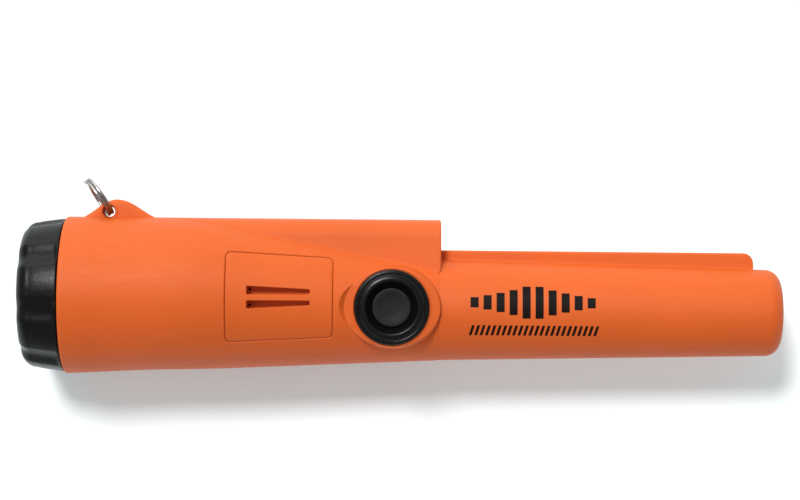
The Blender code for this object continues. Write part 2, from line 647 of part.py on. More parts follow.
def make_motor(steel, brass):
    axis = (MOTOR_Y, MOTOR_Z)
    can = [(35.0, 3.0), (46.0, 3.0)]
    motor = as_object("vibration_motor", turned("X", axis, can, 20), steel)
    cut(motor, "motor_bore", turned("X", axis, [(43.5, 0.9), (48.0, 0.9)], 10))
    shaft = turned("X", axis, [(44.0, 0.5), (51.0, 0.5)], 10)
    pivot = (44.0, MOTOR_Y, MOTOR_Z)
    as_object("motor_shaft", shaft, steel, pivot)
    outline = arc((MOTOR_Y, MOTOR_Z), 2.8, 190.0, 350.0, 10)
    outline += arc((MOTOR_Y, MOTOR_Z), 1.5, 20.0, 160.0, 6)
    slab = loft([[(x, y, z) for y, z in outline] for x in (47.2, 50.6)])
    weight = as_object("eccentric_weight", slab, brass, pivot)
    cut(weight, "weight_bore", turned("X", axis, [(46.0, 0.85), (52.0, 0.85)], 10))


def make_lamp(clear, lens_material):
    axis = (LED_Y, AXIS_Z)
    bulb = [(54.5, 2.5), (55.6, 2.5), (59.4, 2.4), (60.6, 1.7), (61.2, 0.8)]
    as_object("led_lamp", turned("X", axis, bulb, 16), clear)
    disc = [(63.9, 3.0), (65.5, 3.2), (65.8, 2.7)]
    as_object("led_lens", turned("X", axis, disc, 20), lens_material)


def make_coils(former_material, ferrite, copper, foam):
    """The search head: two windings on a flanged former round a ferrite rod."""
    axis = (TUBE_Y, AXIS_Z)
    bore, barrel_r, flange = FERRITE_RADIUS + GAP, 6.0, 9.6
    profile = [(84.0, bore), (84.0, flange), (86.0, flange), (86.0, barrel_r)]
    for x in (118.0, 134.0):
        profile += [(x, barrel_r), (x, flange), (x + 2.0, flange), (x + 2.0, barrel_r)]
    profile += [(156.0, barrel_r), (156.0, flange), (158.0, flange), (158.0, bore)]
    as_object("coil_former", hoop("X", axis, profile, 20), former_material)
    rod = [(78.0, FERRITE_RADIUS), (158.0, FERRITE_RADIUS)]
    as_object("ferrite_core", turned("X", axis, rod, 20), ferrite)
    for name, rear, front in (("receive", 86.3, 117.7), ("transmit", 136.3, 155.7)):
        layers = [(rear, 6.3), (rear, 8.9), (front, 8.9), (front, 6.3)]
        as_object(f"{name}_winding", hoop("X", axis, layers, 20), copper)
    nose = [(158.4, 9.0), (163.8, 9.0)]
    as_object("nose_cushion", turned("X", axis, nose, 24), foam)
    collar = [(79.0, 9.4), (83.5, 9.4), (83.5, FERRITE_RADIUS + GAP), (79.0, FERRITE_RADIUS + GAP)]
    as_object("rod_cushion", hoop("X", axis, collar, 24), foam)


def main():
    clear_scene()
    orange = principled("orange_plastic", (0.87, 0.14, 0.018), 0.42)
    cover_orange = principled("cover_orange_plastic", (0.87, 0.14, 0.018), 0.42)
    tube_orange = principled("tube_orange_plastic", (0.87, 0.14, 0.018), 0.42)
    cap_black = principled("cap_black_plastic", (0.012, 0.012, 0.014), 0.45)
    bezel_black = principled("bezel_black_plastic", (0.010, 0.010, 0.012), 0.35)
    tray_black = principled("tray_plastic", (0.03, 0.03, 0.035), 0.5)
    rubber = principled("black_rubber", (0.015, 0.015, 0.016), 0.6)
    foam = principled("grey_foam", (0.09, 0.09, 0.10), 0.95)
    steel = principled("bright_steel", (0.60, 0.60, 0.62), 0.22, 1.0)
    brass = principled("heavy_alloy", (0.45, 0.40, 0.33), 0.35, 1.0)
    nickel = principled("nickel_plate", (0.62, 0.60, 0.55), 0.28, 1.0)
    jacket = principled("battery_jacket", (0.05, 0.09, 0.22), 0.35)
    board = principled("board_laminate", (0.01, 0.13, 0.05), 0.45)
    paper = principled("speaker_paper", (0.04, 0.035, 0.03), 0.85)
    ferrite = principled("ferrite", (0.035, 0.033, 0.035), 0.6)
    copper = principled("enamelled_copper", (0.60, 0.22, 0.08), 0.3, 1.0)
    ivory = principled("former_plastic", (0.62, 0.58, 0.48), 0.5)
    clear = principled("lamp_epoxy", (0.85, 0.88, 0.92), 0.08)
    make_handle(orange)
    make_cover(cover_orange)
    make_cap(cap_black)
    make_cap_fittings(rubber, foam)
    make_tube(tube_orange, rubber)
    make_button(bezel_black, rubber, steel)
    make_split_ring(steel)
    make_battery(jacket, nickel, tray_black)
    make_contacts(board, nickel)
    make_speaker(tray_black, paper, nickel, foam)
    make_board(board, tray_black, nickel, tray_black)
    make_motor(steel, brass)
    make_lamp(clear, clear)
    make_coils(ivory, ferrite, copper, foam)


main()
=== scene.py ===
"""Looks for the pinpointer probe: smooth shells, procedural materials, and a pale studio.

Shapes are worked out in millimetres in the CAD frame, and their meshes are made in metres.
+X runs from the battery cap to the tip, +Y to the spine and the lug, +Z to the button.
"""

from math import asin, atan2, cos, dist, pi, radians, sin, sqrt, tau

import bmesh
import bpy
import numpy as np
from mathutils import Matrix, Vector


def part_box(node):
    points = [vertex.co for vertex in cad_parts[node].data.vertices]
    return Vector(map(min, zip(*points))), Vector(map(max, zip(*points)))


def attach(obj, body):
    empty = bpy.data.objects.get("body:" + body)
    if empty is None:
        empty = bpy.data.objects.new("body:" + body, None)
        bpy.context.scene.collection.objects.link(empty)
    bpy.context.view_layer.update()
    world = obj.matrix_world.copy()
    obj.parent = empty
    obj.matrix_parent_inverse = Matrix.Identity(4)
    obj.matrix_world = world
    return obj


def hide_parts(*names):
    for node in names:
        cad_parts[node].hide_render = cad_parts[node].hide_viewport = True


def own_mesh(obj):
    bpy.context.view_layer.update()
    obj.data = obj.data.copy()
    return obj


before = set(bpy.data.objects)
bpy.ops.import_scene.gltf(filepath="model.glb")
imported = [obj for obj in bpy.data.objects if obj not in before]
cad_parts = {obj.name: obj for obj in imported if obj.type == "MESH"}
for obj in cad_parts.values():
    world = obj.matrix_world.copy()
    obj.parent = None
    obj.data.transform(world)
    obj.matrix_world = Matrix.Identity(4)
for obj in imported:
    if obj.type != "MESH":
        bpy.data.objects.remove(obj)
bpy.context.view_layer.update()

MM = 0.001


def span(node, axis):
    """A CAD node's lowest and highest place along one axis, in millimetres."""
    low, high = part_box(node)
    return low[axis] / MM, high[axis] / MM


# Stations and axes, read from the frame
BEZEL_HEIGHT, BEZEL_LIFT = 2.0, 0.3
SEAM_X, STEP_X = span("handle_housing", 0)
CAP_REAR_X = span("battery_cap", 0)[0]
TIP_X = span("probe_tube", 0)[1]
AXIS_Z = sum(span("probe_tube", 2)) / 2
TUBE_Y = sum(span("nose_cushion", 1)) / 2
LAMP_Y = sum(span("led_lens", 1)) / 2
BUTTON_X = sum(span("button_bezel", 0)) / 2
BUTTON_Y = sum(span("button_bezel", 1)) / 2
BEZEL_Z = span("button_bezel", 2)[1] - BEZEL_HEIGHT
BUTTON_Z = span("button_cap", 2)[1]
PAD_Z = BEZEL_Z - BEZEL_LIFT

# Handle: its lower outline is a line of (x, y) points
TAPER_X = -6.1
TUBE_REAR_X = STEP_X - 0.7
GRIP_EDGE = ((SEAM_X, -23.8), (-19.0, -22.3), (TAPER_X, -22.2), (STEP_X, -18.8))
GRIP_FRONT_RADIUS, JOIN_SPREAD = 15.3, 9.0
REAR_EDGE, FRONT_EDGE = 0.55, 0.5
WALL, FRONT_WALL, BORE_LIMIT, COUNTERBORE_RADIUS = 2.6, 3.0, 20.4, 20.45
FINE_FROM_X = 30.0
SPINE_TOP_Y, SPINE_HALF_WIDTH, SPINE_CORNER = 23.8, 10.2, 5.5
SPINE_DRAFT, SPINE_WALL_RUN, SPINE_FOOT = 0.10, 10.0, 3.0
CREASE_FILLET, CREASE_FADE = 0.5, 22.0
PAD_X, PAD_LONG, PAD_WIDE, PAD_EDGE = 51.5, 14.4, 11.9, 0.5
NECK_RADIUS, SOCKET_RADIUS, RELIEF_GAP, CLEAR_X = 8.9, 12.1, 0.3, 70.0
LAMP_BORE = ((20, 2.9), (63.6, 2.9), (63.6, 3.45), (65.75, 3.45), (66.4, 4.1))

# Land under the handle
LAND_REAR_X, LAND_FRONT_X, LAND_HALF_WIDTH, LAND_EDGE = -40.0, 48.0, 8.0, 1.4
LAND_INSET, LAND_REAR_FADE, LAND_FRONT_FADE = 1.0, 3.0, 9.0
LAND_FLARE, LAND_WALL_Z, LAND_FILLET = 2.0, 13.0, 1.2

# Lug
LUG_X, LUG_REAR, LUG_FRONT, LUG_HEIGHT = -32.2, 12.9, 14.6, 5.8
LUG_SINK, LUG_STRETCH, LUG_ROOT = 0.75, 1.045, 5.0
LUG_HALF, LUG_EDGE = 3.0, 1.5
LUG_HOLE, LUG_HOLE_RADIUS, LUG_HOLE_STRAIGHT = (-34.5, 25.4), 1.55, 0.4
LUG_RIM_RADIUS, LUG_RIM_SPREAD, LUG_RIM_SINK, LUG_RIM_RISE = 2.35, 0.62, 0.3, 0.5

# Thread, as the CAD pieces have it
THREAD_PITCH, THREAD_WAVE = 3.0, 0.45
SPIGOT_RADIUS = 19.3
THREAD_REAR_X, THREAD_FRONT_X, THREAD_START = -44.9, -38.4, 0.2
BORE_RADIUS = SPIGOT_RADIUS + 0.35

# Cap: its front edge is a row of (distance back, distance out, share of the groove's depth)
CAP_LOBES, CAP_LAND_ANGLE = 8, 78.5
CAP_FACE_RADIUS, CAP_CORNER, CAP_FLARE, CAP_GAP = 18.0, 4.0, 1.1, 0.3
CAP_EDGE = ((0.85, 0.02, 0.85), (0.6, 0.06, 0.35), (0.35, 0.08, 0.08), (0.12, 0.0, 0.0))
CAP_EDGE += ((0.0, -0.15, 0.0),)
CAP_EDGE_LENGTH, CAP_FLOOR, CAP_BORE_RADIUS = 1.1, 3.0, 17.2
GROOVE_DEPTH, GROOVE_WIDTH = 1.15, 21.0
SEAL_RADIUS, SEAL_REAR_X, SEAL_FRONT_X, SPIGOT_END_X = 18.2, -46.9, -45.1, -37.6
COIN_RADIUS, COIN_SINK, COIN_SWEEP = 18.2, 16.6, 0.41

# Speaker cover: a slot has its side, inner edge, and outer edge at the rear and the front
COVER_REAR_X, COVER_FRONT_X = span("speaker_cover", 0)
COVER_HALF = (13.45, 11.75)
COVER_Y, COVER_CORNER, COVER_THICKNESS = 0.2, 1.8, 1.2
COVER_MIDDLE = np.array([(COVER_REAR_X + COVER_FRONT_X) / 2, COVER_Y])
SLOT_REAR_X, SLOT_FRONT_X, SLOT_FLOOR_Z, SLOT_CORNER = 8.5, 27.0, 41.0, 0.4
SLOTS = {"upper": (1, 0.9, 3.3, 2.35), "lower": (-1, 1.0, 3.3, 2.25)}
BOSS_Z, BOSS_MARGIN, BOSS_HALF_WIDTH = 40.0, 1.8, 5.2
WINDOW_MARGIN, WINDOW_HALF_WIDTH = 2.5, 6.0
PORT_RADIUS, PORT_INSET, PORT_OUT = 0.35, 0.7, 2.3

# Tube: its inside is a line of (x, radius) points, back along the spigot and forward down the bore
TUBE_RADIUS, TUBE_TIP_RADIUS, TIP_CORNER = 15.25, 13.1, 4.6
TUBE_INSIDE = ((62.2, 11.8), (62.2, 10.95), (60.2, 10.95), (60.2, 11.8), (56.4, 11.8))
TUBE_INSIDE += ((56.0, 11.4), (56.0, 10.2), (164.6, 10.2), (164.6, 5.0), (164.6, 0.3))
RIB_TOP_Y, RIB_HALF_WIDTH, RIB_FRONT_X, RIB_NOSE = 14.6, 1.5, 160.8, 3.0
RIB_CORNER, RIB_FILLET = 0.7, 0.55
PRINT_REAR_X, PRINT_FRONT_X, PRINT_HEIGHT, PRINT_DEPTH = 74.8, 113.6, 0.035, 0.06
BAR_MIDDLE_Y, BAR_HALF, BAR_SHARE = -0.75, 4.75, 0.62
BAR_HEIGHTS = (0.32, 0.45, 0.60, 0.78, 1.0, 1.0, 0.78, 0.60, 0.45, 0.32)
TICK_LOW_Y, TICK_HIGH_Y, TICK_COUNT, TICK_SLANT = -10.6, -7.6, 24, 0.3

# Button and its spring
BEZEL_BORE, BEZEL_FLOOR_Z, BEZEL_UNDER_Z, BEZEL_HOLE, BEZEL_NECK = 6.12, 38.6, 37.6, 2.3, 8.6
STEM_LOW_Z, STEM_RADIUS, DISC_LOW_Z, DISC_RADIUS = 34.9, 1.9, 41.0, 5.8
LIP_RADIUS, LIP_THICK, LIP_RISE = 11.62, 0.32, 0.38
SPRING_FOOT_Z, SPRING_WIRE, SPRING_TURNS, SPRING_KEEP = 38.8, 0.2, 2.5, 0.55

# Key ring, as the CAD piece has it
RING_HEADING, RING_TILT, RING_START = 125.0, 12.0, 40.0
RING_TURNS, RING_RADIUS, RING_WIRE, RING_WIRE_FLAT, RING_STEP = 1.93, 6.1, 0.5, 0.46, 1.03


# --- mesh helpers ---


def placed(name, data):
    """A new object in the scene for a mesh, a light or a camera."""
    ob = bpy.data.objects.new(name, data)
    bpy.context.scene.collection.objects.link(ob)
    return ob


def lofted(name, rings, looped=False):
    """A closed mesh through rings of equal length: capped at both ends, or looped."""
    rings = np.asarray(rings, dtype=float)
    rows, count = rings.shape[:2]
    first = np.arange(rows if looped else rows - 1)[:, None] * count
    after = (first + count) % (rows * count)
    k = np.arange(count)[None, :]
    j = (k + 1) % count
    quads = np.stack([first + k, first + j, after + j, after + k], axis=-1).reshape(-1, 4)
    faces = quads.tolist()
    if not looped:
        faces.append(list(range(count)))
        faces.append(list(range((rows - 1) * count, rows * count)))
    mesh = bpy.data.meshes.new(name)
    mesh.from_pydata((rings.reshape(-1, 3) * MM).tolist(), [], faces)
    bm = bmesh.new()
    bm.from_mesh(mesh)
    bmesh.ops.recalc_face_normals(bm, faces=bm.faces)
    bm.to_mesh(mesh)
    bm.free()
    return placed(name, mesh)


def circle_x(x, y, radius, turns):
    """A ring about an axis along X, one point for each direction in turns."""
    along, up = y + radius * np.cos(turns), AXIS_Z + radius * np.sin(turns)
    return np.stack([np.full_like(turns, x), along, up], -1)


def circle_z(centre, z, radius, turns):
    """A ring about an upright axis."""
    x, y = centre[0] + radius * np.cos(turns), centre[1] + radius * np.sin(turns)
    return np.stack([x, y, np.full_like(turns, z)], -1)


def full_turn(sides):
    """Evenly spread directions round a whole turn."""
    return np.arange(sides) * tau / sides


def lathe_z(name, centre, profile, sides=128, looped=True):
    """A piece turned about an upright axis from (z, radius) points."""
    turns = full_turn(sides)
    return lofted(name, [circle_z(centre, z, r, turns) for z, r in profile], looped)


def arc(centre, radius, angles):
    """Points on a circle, at angles from the first axis."""
    return [(centre[0] + radius * cos(a), centre[1] + radius * sin(a)) for a in angles]


def lathe_x(name, centre_y, profile, sides=64, looped=False):
    """A piece turned about an axis along X from (x, radius) points."""
    turns = full_turn(sides)
    return lofted(name, [circle_x(x, centre_y, r, turns) for x, r in profile], looped)


def rounded(points, radius, steps=4):
    """A closed outline with each corner cut into a small arc-like curve."""
    out = []
    for i, p in enumerate(points):
        a = np.array(points[i - 1], float)
        p = np.array(p, float)
        b = np.array(points[(i + 1) % len(points)], float)
        reach = min(radius, np.linalg.norm(a - p) * 0.45, np.linalg.norm(b - p) * 0.45)
        start = p + (a - p) / np.linalg.norm(a - p) * reach
        end = p + (b - p) / np.linalg.norm(b - p) * reach
        for s in np.linspace(0.0, 1.0, steps + 1):
            out.append(tuple((1 - s) ** 2 * start + 2 * s * (1 - s) * p + s**2 * end))
    return out


def combine(target, operation, *tools):
    """Applies a Boolean with each tool in turn, and removes the tools."""
    for tool in tools:
        change = target.modifiers.new(tool.name, "BOOLEAN")
        change.operation, change.solver, change.object = operation, "EXACT", tool
    bake_modifiers(target)
    for tool in tools:
        bpy.data.objects.remove(tool, do_unlink=True)


def subdivided(outline, step):
    """The same closed outline with extra points along its longer sides."""
    fine = []
    for p, q in zip(outline, outline[1:] + outline[:1]):
        parts = max(1, int(dist(p, q) / step))
        fine += [tuple(a + (b - a) * i / parts for a, b in zip(p, q)) for i in range(parts)]
    return fine


def bake_modifiers(ob):
    """Replaces a mesh by what its modifiers make of it."""
    bpy.context.view_layer.update()
    done = ob.evaluated_get(bpy.context.evaluated_depsgraph_get())
    mesh = bpy.data.meshes.new_from_object(done)
    ob.modifiers.clear()
    ob.data = mesh


def smooth(ob, angle=35.0):
    """Smooth shading, with edges kept sharp above an angle in degrees."""
    ob.data.shade_smooth()
    ob.data.set_sharp_from_angle(angle=radians(angle))


def as_piece(ob, body, slot, material, *nodes, angle=35.0):
    """Dresses a finished mesh, puts it on its CAD body and hides the CAD nodes it stands for."""
    ob.data.materials.clear()
    ob.data.materials.append(material)
    smooth(ob, angle)
    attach(ob, body)
    if nodes:
        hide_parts(*nodes)
    return ob


# --- handle ---


def ease(t):
    """A smooth step from 0 to 1."""
    t = np.clip(t, 0.0, 1.0)
    return t * t * (3.0 - 2.0 * t)


def soft_max(a, b, blend):
    """The larger of two heights, with a fillet about blend wide where they cross."""
    blend = max(blend, 1e-6)
    share = np.clip(0.5 + 0.5 * (a - b) / blend, 0.0, 1.0)
    return b + (a - b) * share + blend * share * (1.0 - share)


def grip_edge(x):
    """Where the handle's lower outline lies in y."""
    return float(np.interp(x, *zip(*GRIP_EDGE)))


def barrel(x):
    """Centre y and radius of a round section from the lower outline to the spine's top."""
    edge = grip_edge(x)
    return (SPINE_TOP_Y + edge) / 2, (SPINE_TOP_Y - edge) / 2


def straight_grip(x):
    """Centre y and radius of the grip's round section, before its joins are eased."""
    if x <= TAPER_X:
        return barrel(x)
    share = (x - TAPER_X) / (STEP_X - TAPER_X)
    radius = barrel(TAPER_X)[1] * (1 - share) + GRIP_FRONT_RADIUS * share
    return grip_edge(x) + radius, radius


def grip(x):
    """The grip's section with the changes of slope eased over a few millimetres."""
    spread = max(0.0, min(JOIN_SPREAD, x - SEAM_X, STEP_X - x))
    near = [straight_grip(x + spread * s) for s in np.linspace(-1.0, 1.0, 9)]
    middle, radius = np.mean(near, axis=0)
    return float(middle), float(radius)


def reach(points, middle, turns):
    """How far a line of (y, z) points lies from the middle in each direction, 0 if absent."""
    y, z = np.array(points, dtype=float).T
    angles = np.arctan2(z, y - middle)
    order = np.argsort(angles)
    radii = np.hypot(y - middle, z)[order]
    wrapped = np.arctan2(np.sin(turns), np.cos(turns))
    return np.interp(wrapped, angles[order], radii, left=0.0, right=0.0)


def spine_line(x):
    """The spine's section over its whole width: leaning wall, corner, crown, corner, wall."""
    middle, radius = barrel(x)
    inner = SPINE_HALF_WIDTH - SPINE_DRAFT * SPINE_WALL_RUN - SPINE_CORNER
    corner_y = middle + sqrt((radius - SPINE_CORNER) ** 2 - inner**2)
    lean = atan2(inner, corner_y - middle)
    crown = arc((middle, 0.0), radius, np.linspace(0, lean, 12))
    turn = np.linspace(lean, pi / 2 - SPINE_DRAFT, 24)[1:]
    corner = arc((corner_y, inner), SPINE_CORNER, turn)
    top_y, half_width = corner[-1]
    down = np.linspace(top_y, grip(x)[0] + SPINE_FOOT, 30)[1:]
    wall = [(y, half_width + SPINE_DRAFT * (top_y - y)) for y in down]
    half = crown + corner + wall
    return [(y, -z) for y, z in reversed(half[1:])] + half


def land_line(x):
    """The section of the land below the handle, or None outside its length."""
    rear, front = LAND_REAR_X + LAND_INSET, LAND_FRONT_X - LAND_INSET
    if x < rear - LAND_REAR_FADE or x > front + LAND_FRONT_FADE:
        return None
    rear_rise = ease((rear - x) / LAND_REAR_FADE) * LAND_REAR_FADE
    front_rise = ease((x - front) / LAND_FRONT_FADE) * LAND_FRONT_FADE
    bottom = rear_rise + front_rise - AXIS_Z
    flat_half = LAND_HALF_WIDTH - LAND_EDGE
    flat = [(y, bottom) for y in np.linspace(0.0, flat_half, 14)]
    corner = [
        (flat_half + LAND_EDGE * sin(a), bottom + LAND_EDGE * (1 - cos(a)))
        for a in np.linspace(0.0, 1.35, 8)
    ]
    foot, head = corner[-1], (LAND_HALF_WIDTH + LAND_FLARE, LAND_WALL_Z - AXIS_Z)
    wall = [
        (foot[0] * (1 - s) + head[0] * s, foot[1] * (1 - s) + head[1] * s)
        for s in np.linspace(0.0, 1.0, 20)[1:]
    ]
    side = flat + corner[1:] + wall
    return [(-y, z) for y, z in reversed(side[1:])] + side


def edge_round(distance, radius):
    """How far a surface falls back near an end edge that is rounded by radius."""
    inside = max(radius - distance, 0.0)
    return radius - sqrt(max(radius**2 - inside**2, 0.0))


def handle_radius(x, turns):
    """The middle of the handle's section, and how far its skin lies in each direction."""
    middle, radius = grip(x)
    skin = np.full_like(turns, radius)
    if x > TAPER_X - JOIN_SPREAD:
        blend = CREASE_FILLET * float(ease((x - TAPER_X) / CREASE_FADE))
        skin = soft_max(skin, reach(spine_line(x), middle, turns), blend)
    land = land_line(x)
    if land:
        skin = soft_max(skin, reach(land, middle, turns), LAND_FILLET)
    skin = skin - edge_round(x - SEAM_X, REAR_EDGE) - edge_round(STEP_X - x, FRONT_EDGE)
    return middle, skin


def pad_ring(z, grow):
    """An ellipse of the button's pad at one height."""
    turns = full_turn(200)
    x = PAD_X + (PAD_LONG + grow) * np.cos(turns)
    y = BUTTON_Y + (PAD_WIDE + grow) * np.sin(turns)
    return np.stack([x, y, np.full_like(x, z)], -1)


def pad_boss():
    """The pad where it stands out of the handle, with a rounded rim."""
    foot = [(AXIS_Z + 9.0, 0.9), (PAD_Z - 1.2, 0.12)]
    rim = [
        (PAD_Z - PAD_EDGE * (1 - sin(a)), -PAD_EDGE * (1 - cos(a)))
        for a in np.linspace(0.0, 1.45, 7)
    ]
    return lofted("pad_boss", [pad_ring(z, grow) for z, grow in foot + rim])


def pad_recess():
    """The room cut above the pad where the handle is taller, with sloping walls."""
    walls = ((0.004, -0.05), (0.08, 0.02), (0.3, 0.22), (3.0, 3.0), (8.0, 8.4))
    return lofted("pad_recess", [pad_ring(PAD_Z + rise, grow) for rise, grow in walls])


def handle_turns():
    """Directions round the section, closer together where the spine and the land turn."""
    parts = [(-38, -12, 56), (-12, 12, 24), (12, 38, 56), (38, 62, 22), (62, 118, 96)]
    parts += [(118, 232, 96), (232, 308, 110), (308, 322, 13)]
    return np.radians(np.concatenate([np.linspace(a, b, n, endpoint=False) for a, b, n in parts]))


def top_z(x, y):
    """Height of the round grip's top over a point, away from the spine."""
    middle, radius = grip(x)
    return AXIS_Z + sqrt(radius**2 - (y - middle) ** 2)


def handle_stations():
    """Places along the handle where its skin is sampled, closest together at both ends."""
    rear = [SEAM_X + gap for gap in (0.0, 0.06, 0.16, 0.3, REAR_EDGE)]
    front = [STEP_X - gap for gap in (FRONT_EDGE, 0.3, 0.15, 0.05, 0.0)]
    plain = list(np.arange(SEAM_X + 1.2, FINE_FROM_X, 0.85))
    fine = list(np.arange(FINE_FROM_X, STEP_X - 0.6, 0.5))
    return rear + plain + fine + front


def handle_shell(material):
    """The handle in one run: its skin to the front, then back inside, through the thread."""
    turns = handle_turns()
    rings = []
    for x in handle_stations():
        middle, skin = handle_radius(x, turns)
        y, z = middle + skin * np.cos(turns), AXIS_Z + skin * np.sin(turns)
        rings.append(np.stack([np.full_like(y, x), y, z], -1))
    for x in (STEP_X - FRONT_WALL, 54.0, TAPER_X, -37.0):
        middle, radius = grip(x)
        rings.append(circle_x(x, middle, min(radius - WALL, BORE_LIMIT), turns))
    rings += thread_rings(BORE_RADIUS, 1.0, turns)[::-1]
    rings += [circle_x(x, 0.0, COUNTERBORE_RADIUS, turns) for x in (THREAD_REAR_X, SEAM_X)]
    shell = lofted("handle_shell", rings, looped=True)
    combine(shell, "UNION", lug_plate(), lug_rims(), pad_boss())
    combine(shell, "DIFFERENCE", *handle_cutters())
    return as_piece(shell, "handle", "orange_shell", material, "handle_housing", angle=30)


def thread_rings(radius, raised, turns):
    """Rings of the rounded thread; its ends fade to the crest (raised 1) or the root (-1)."""
    rows, fade = 40, 6
    rings = []
    for i in range(rows):
        x = THREAD_REAR_X + THREAD_START + (THREAD_FRONT_X - THREAD_REAR_X) * i / (rows - 1)
        strength = min(1.0, i / fade, (rows - 1 - i) / fade)
        wave = np.cos(tau * x / THREAD_PITCH - turns)
        level = strength * wave + (1.0 - strength) * raised
        rings.append(circle_x(x, 0.0, radius + THREAD_WAVE * level, turns))
    return rings


def lug_edge():
    """The lug's smooth bump over the spine as (x, y) vectors, and their normals."""
    steps = 56
    edge = []
    for i in range(steps + 1):
        x = LUG_X - LUG_REAR + (LUG_REAR + LUG_FRONT) * i / steps
        run = LUG_REAR if x < LUG_X else LUG_FRONT
        rise = LUG_HEIGHT * (0.5 + 0.5 * cos(pi * (x - LUG_X) / run))
        edge.append(Vector((x, SPINE_TOP_Y - LUG_SINK + rise * LUG_STRETCH)))
    normals = []
    for i in range(len(edge)):
        along = edge[min(i + 1, steps)] - edge[max(i - 1, 0)]
        normals.append(Vector((-along.y, along.x)).normalized())
    return edge, normals


def lug_plate():
    """The lug: a plate with a smooth bump for an edge, rounded all round."""
    edge, normals = lug_edge()
    root_y = SPINE_TOP_Y - LUG_ROOT
    base = [(LUG_X + LUG_FRONT - 1.0, root_y), (LUG_X - LUG_REAR + 1.0, root_y)]
    lips = [
        (LUG_HALF - LUG_EDGE + LUG_EDGE * sin(a), LUG_EDGE * (1 - cos(a)))
        for a in np.linspace(0, pi / 2, 7)
    ]
    rings = []
    for side in (-1, 1):
        for height, inset in lips if side > 0 else reversed(lips):
            ring = [(p.x - n.x * inset, p.y - n.y * inset) for p, n in zip(edge, normals)]
            rings.append([(x, y, AXIS_Z + side * height) for x, y in ring + base])
    return lofted("lug_plate", rings)


def lug_rims():
    """A raised rim round each mouth of the lug's hole, joined as one hoop."""
    mouth_z = AXIS_Z + LUG_HALF - LUG_RIM_SINK
    rim = [
        (mouth_z + LUG_RIM_RISE * cos(a), LUG_RIM_RADIUS + LUG_RIM_SPREAD * sin(a))
        for a in np.linspace(-1.2, 1.2, 9)
    ]
    mirrored = [(2 * AXIS_Z - z, r) for z, r in reversed(rim)]
    bore = [(AXIS_Z - 2.2, 1.0), (AXIS_Z + 2.2, 1.0)]
    return lathe_z("lug_rims", LUG_HOLE, rim + mirrored + bore, 64)


def lug_hole():
    """The hole through the lug, which flares to its mouths."""
    half_depth = 8.0
    profile = []
    for s in np.linspace(-1.0, 1.0, 25):
        flare = max(0.0, abs(s) * half_depth - LUG_HOLE_STRAIGHT)
        profile.append((AXIS_Z + half_depth * s, LUG_HOLE_RADIUS + 0.15 * flare**1.3))
    return lathe_z("lug_hole", LUG_HOLE, profile, 48, looped=False)


def front_cutters():
    """What is cut into the handle's front: the tube's seat and socket, and the lamp's bore."""
    turns = full_turn(160)
    seat = [circle_x(x, TUBE_Y, TUBE_RADIUS + RELIEF_GAP, turns) for x in (TUBE_REAR_X, CLEAR_X)]
    socket = [(50.0, SOCKET_RADIUS), (CLEAR_X, SOCKET_RADIUS)]
    return [
        lofted("relief", seat),
        lathe_x("socket", TUBE_Y, socket, 96),
        lathe_x("lamp_bore", LAMP_Y, LAMP_BORE, 64),
    ]


def cover_cutters():
    """What is cut for the speaker cover: its pocket, and a window into the handle below it."""
    pocket_walls = [(-COVER_THICKNESS - 0.5, 0.06), (-0.3, 0.06), (-0.06, 0.3), (0.6, 0.9)]
    rear, front = SLOT_REAR_X - WINDOW_MARGIN, SLOT_FRONT_X + WINDOW_MARGIN
    low, high = COVER_Y - WINDOW_HALF_WIDTH, COVER_Y + WINDOW_HALF_WIDTH
    corners = [(rear, low), (front, low), (front, high), (rear, high)]
    window = [[(x, y, z) for x, y in corners] for z in (AXIS_Z + 10.0, AXIS_Z + 25.0)]
    return [conformal("pocket", pocket_walls), lofted("window", window)]


def handle_cutters():
    """Everything that is cut out of the handle's skin."""
    neck = [(AXIS_Z + 13.0, NECK_RADIUS), (PAD_Z + 5.0, NECK_RADIUS)]
    neck = lathe_z("neck_hole", (BUTTON_X, BUTTON_Y), neck, 96, looped=False)
    return [lug_hole(), *front_cutters(), pad_recess(), neck, *cover_cutters()]


# --- speaker cover ---


def cover_outline(grow):
    """The cover's outline from above, grown evenly, with fine steps along each side."""
    rear, front = COVER_REAR_X - grow, COVER_FRONT_X + grow
    wide, narrow = COVER_HALF[0] + grow, COVER_HALF[1] + grow
    corners = [(front, COVER_Y + narrow), (front, COVER_Y - narrow)]
    corners += [(rear, COVER_Y - wide), (rear, COVER_Y + wide)]
    return subdivided(rounded(corners, COVER_CORNER + grow, 8), 1.2)


def conformal(name, levels):
    """A plug that follows the grip's surface: (height over it, outline growth) per ring.

    Both faces are made of rings that shrink towards the middle, so they stay curved.
    """
    base = [np.array(p) for p in cover_outline(0.0)]
    half = np.array([(COVER_FRONT_X - COVER_REAR_X) / 2, COVER_HALF[0]])
    shrink = np.linspace(0.04, 0.96, 16)
    steps = [(*levels[0], share) for share in shrink]
    steps += [(*level, 1.0) for level in levels]
    steps += [(*levels[-1], share) for share in shrink[::-1]]
    rings = []
    for lift, grow, share in steps:
        ring = [COVER_MIDDLE + (p - COVER_MIDDLE) * (1 + grow / half) * share for p in base]
        rings.append([(x, y, top_z(x, y) + lift) for x, y in ring])
    return lofted(name, rings)


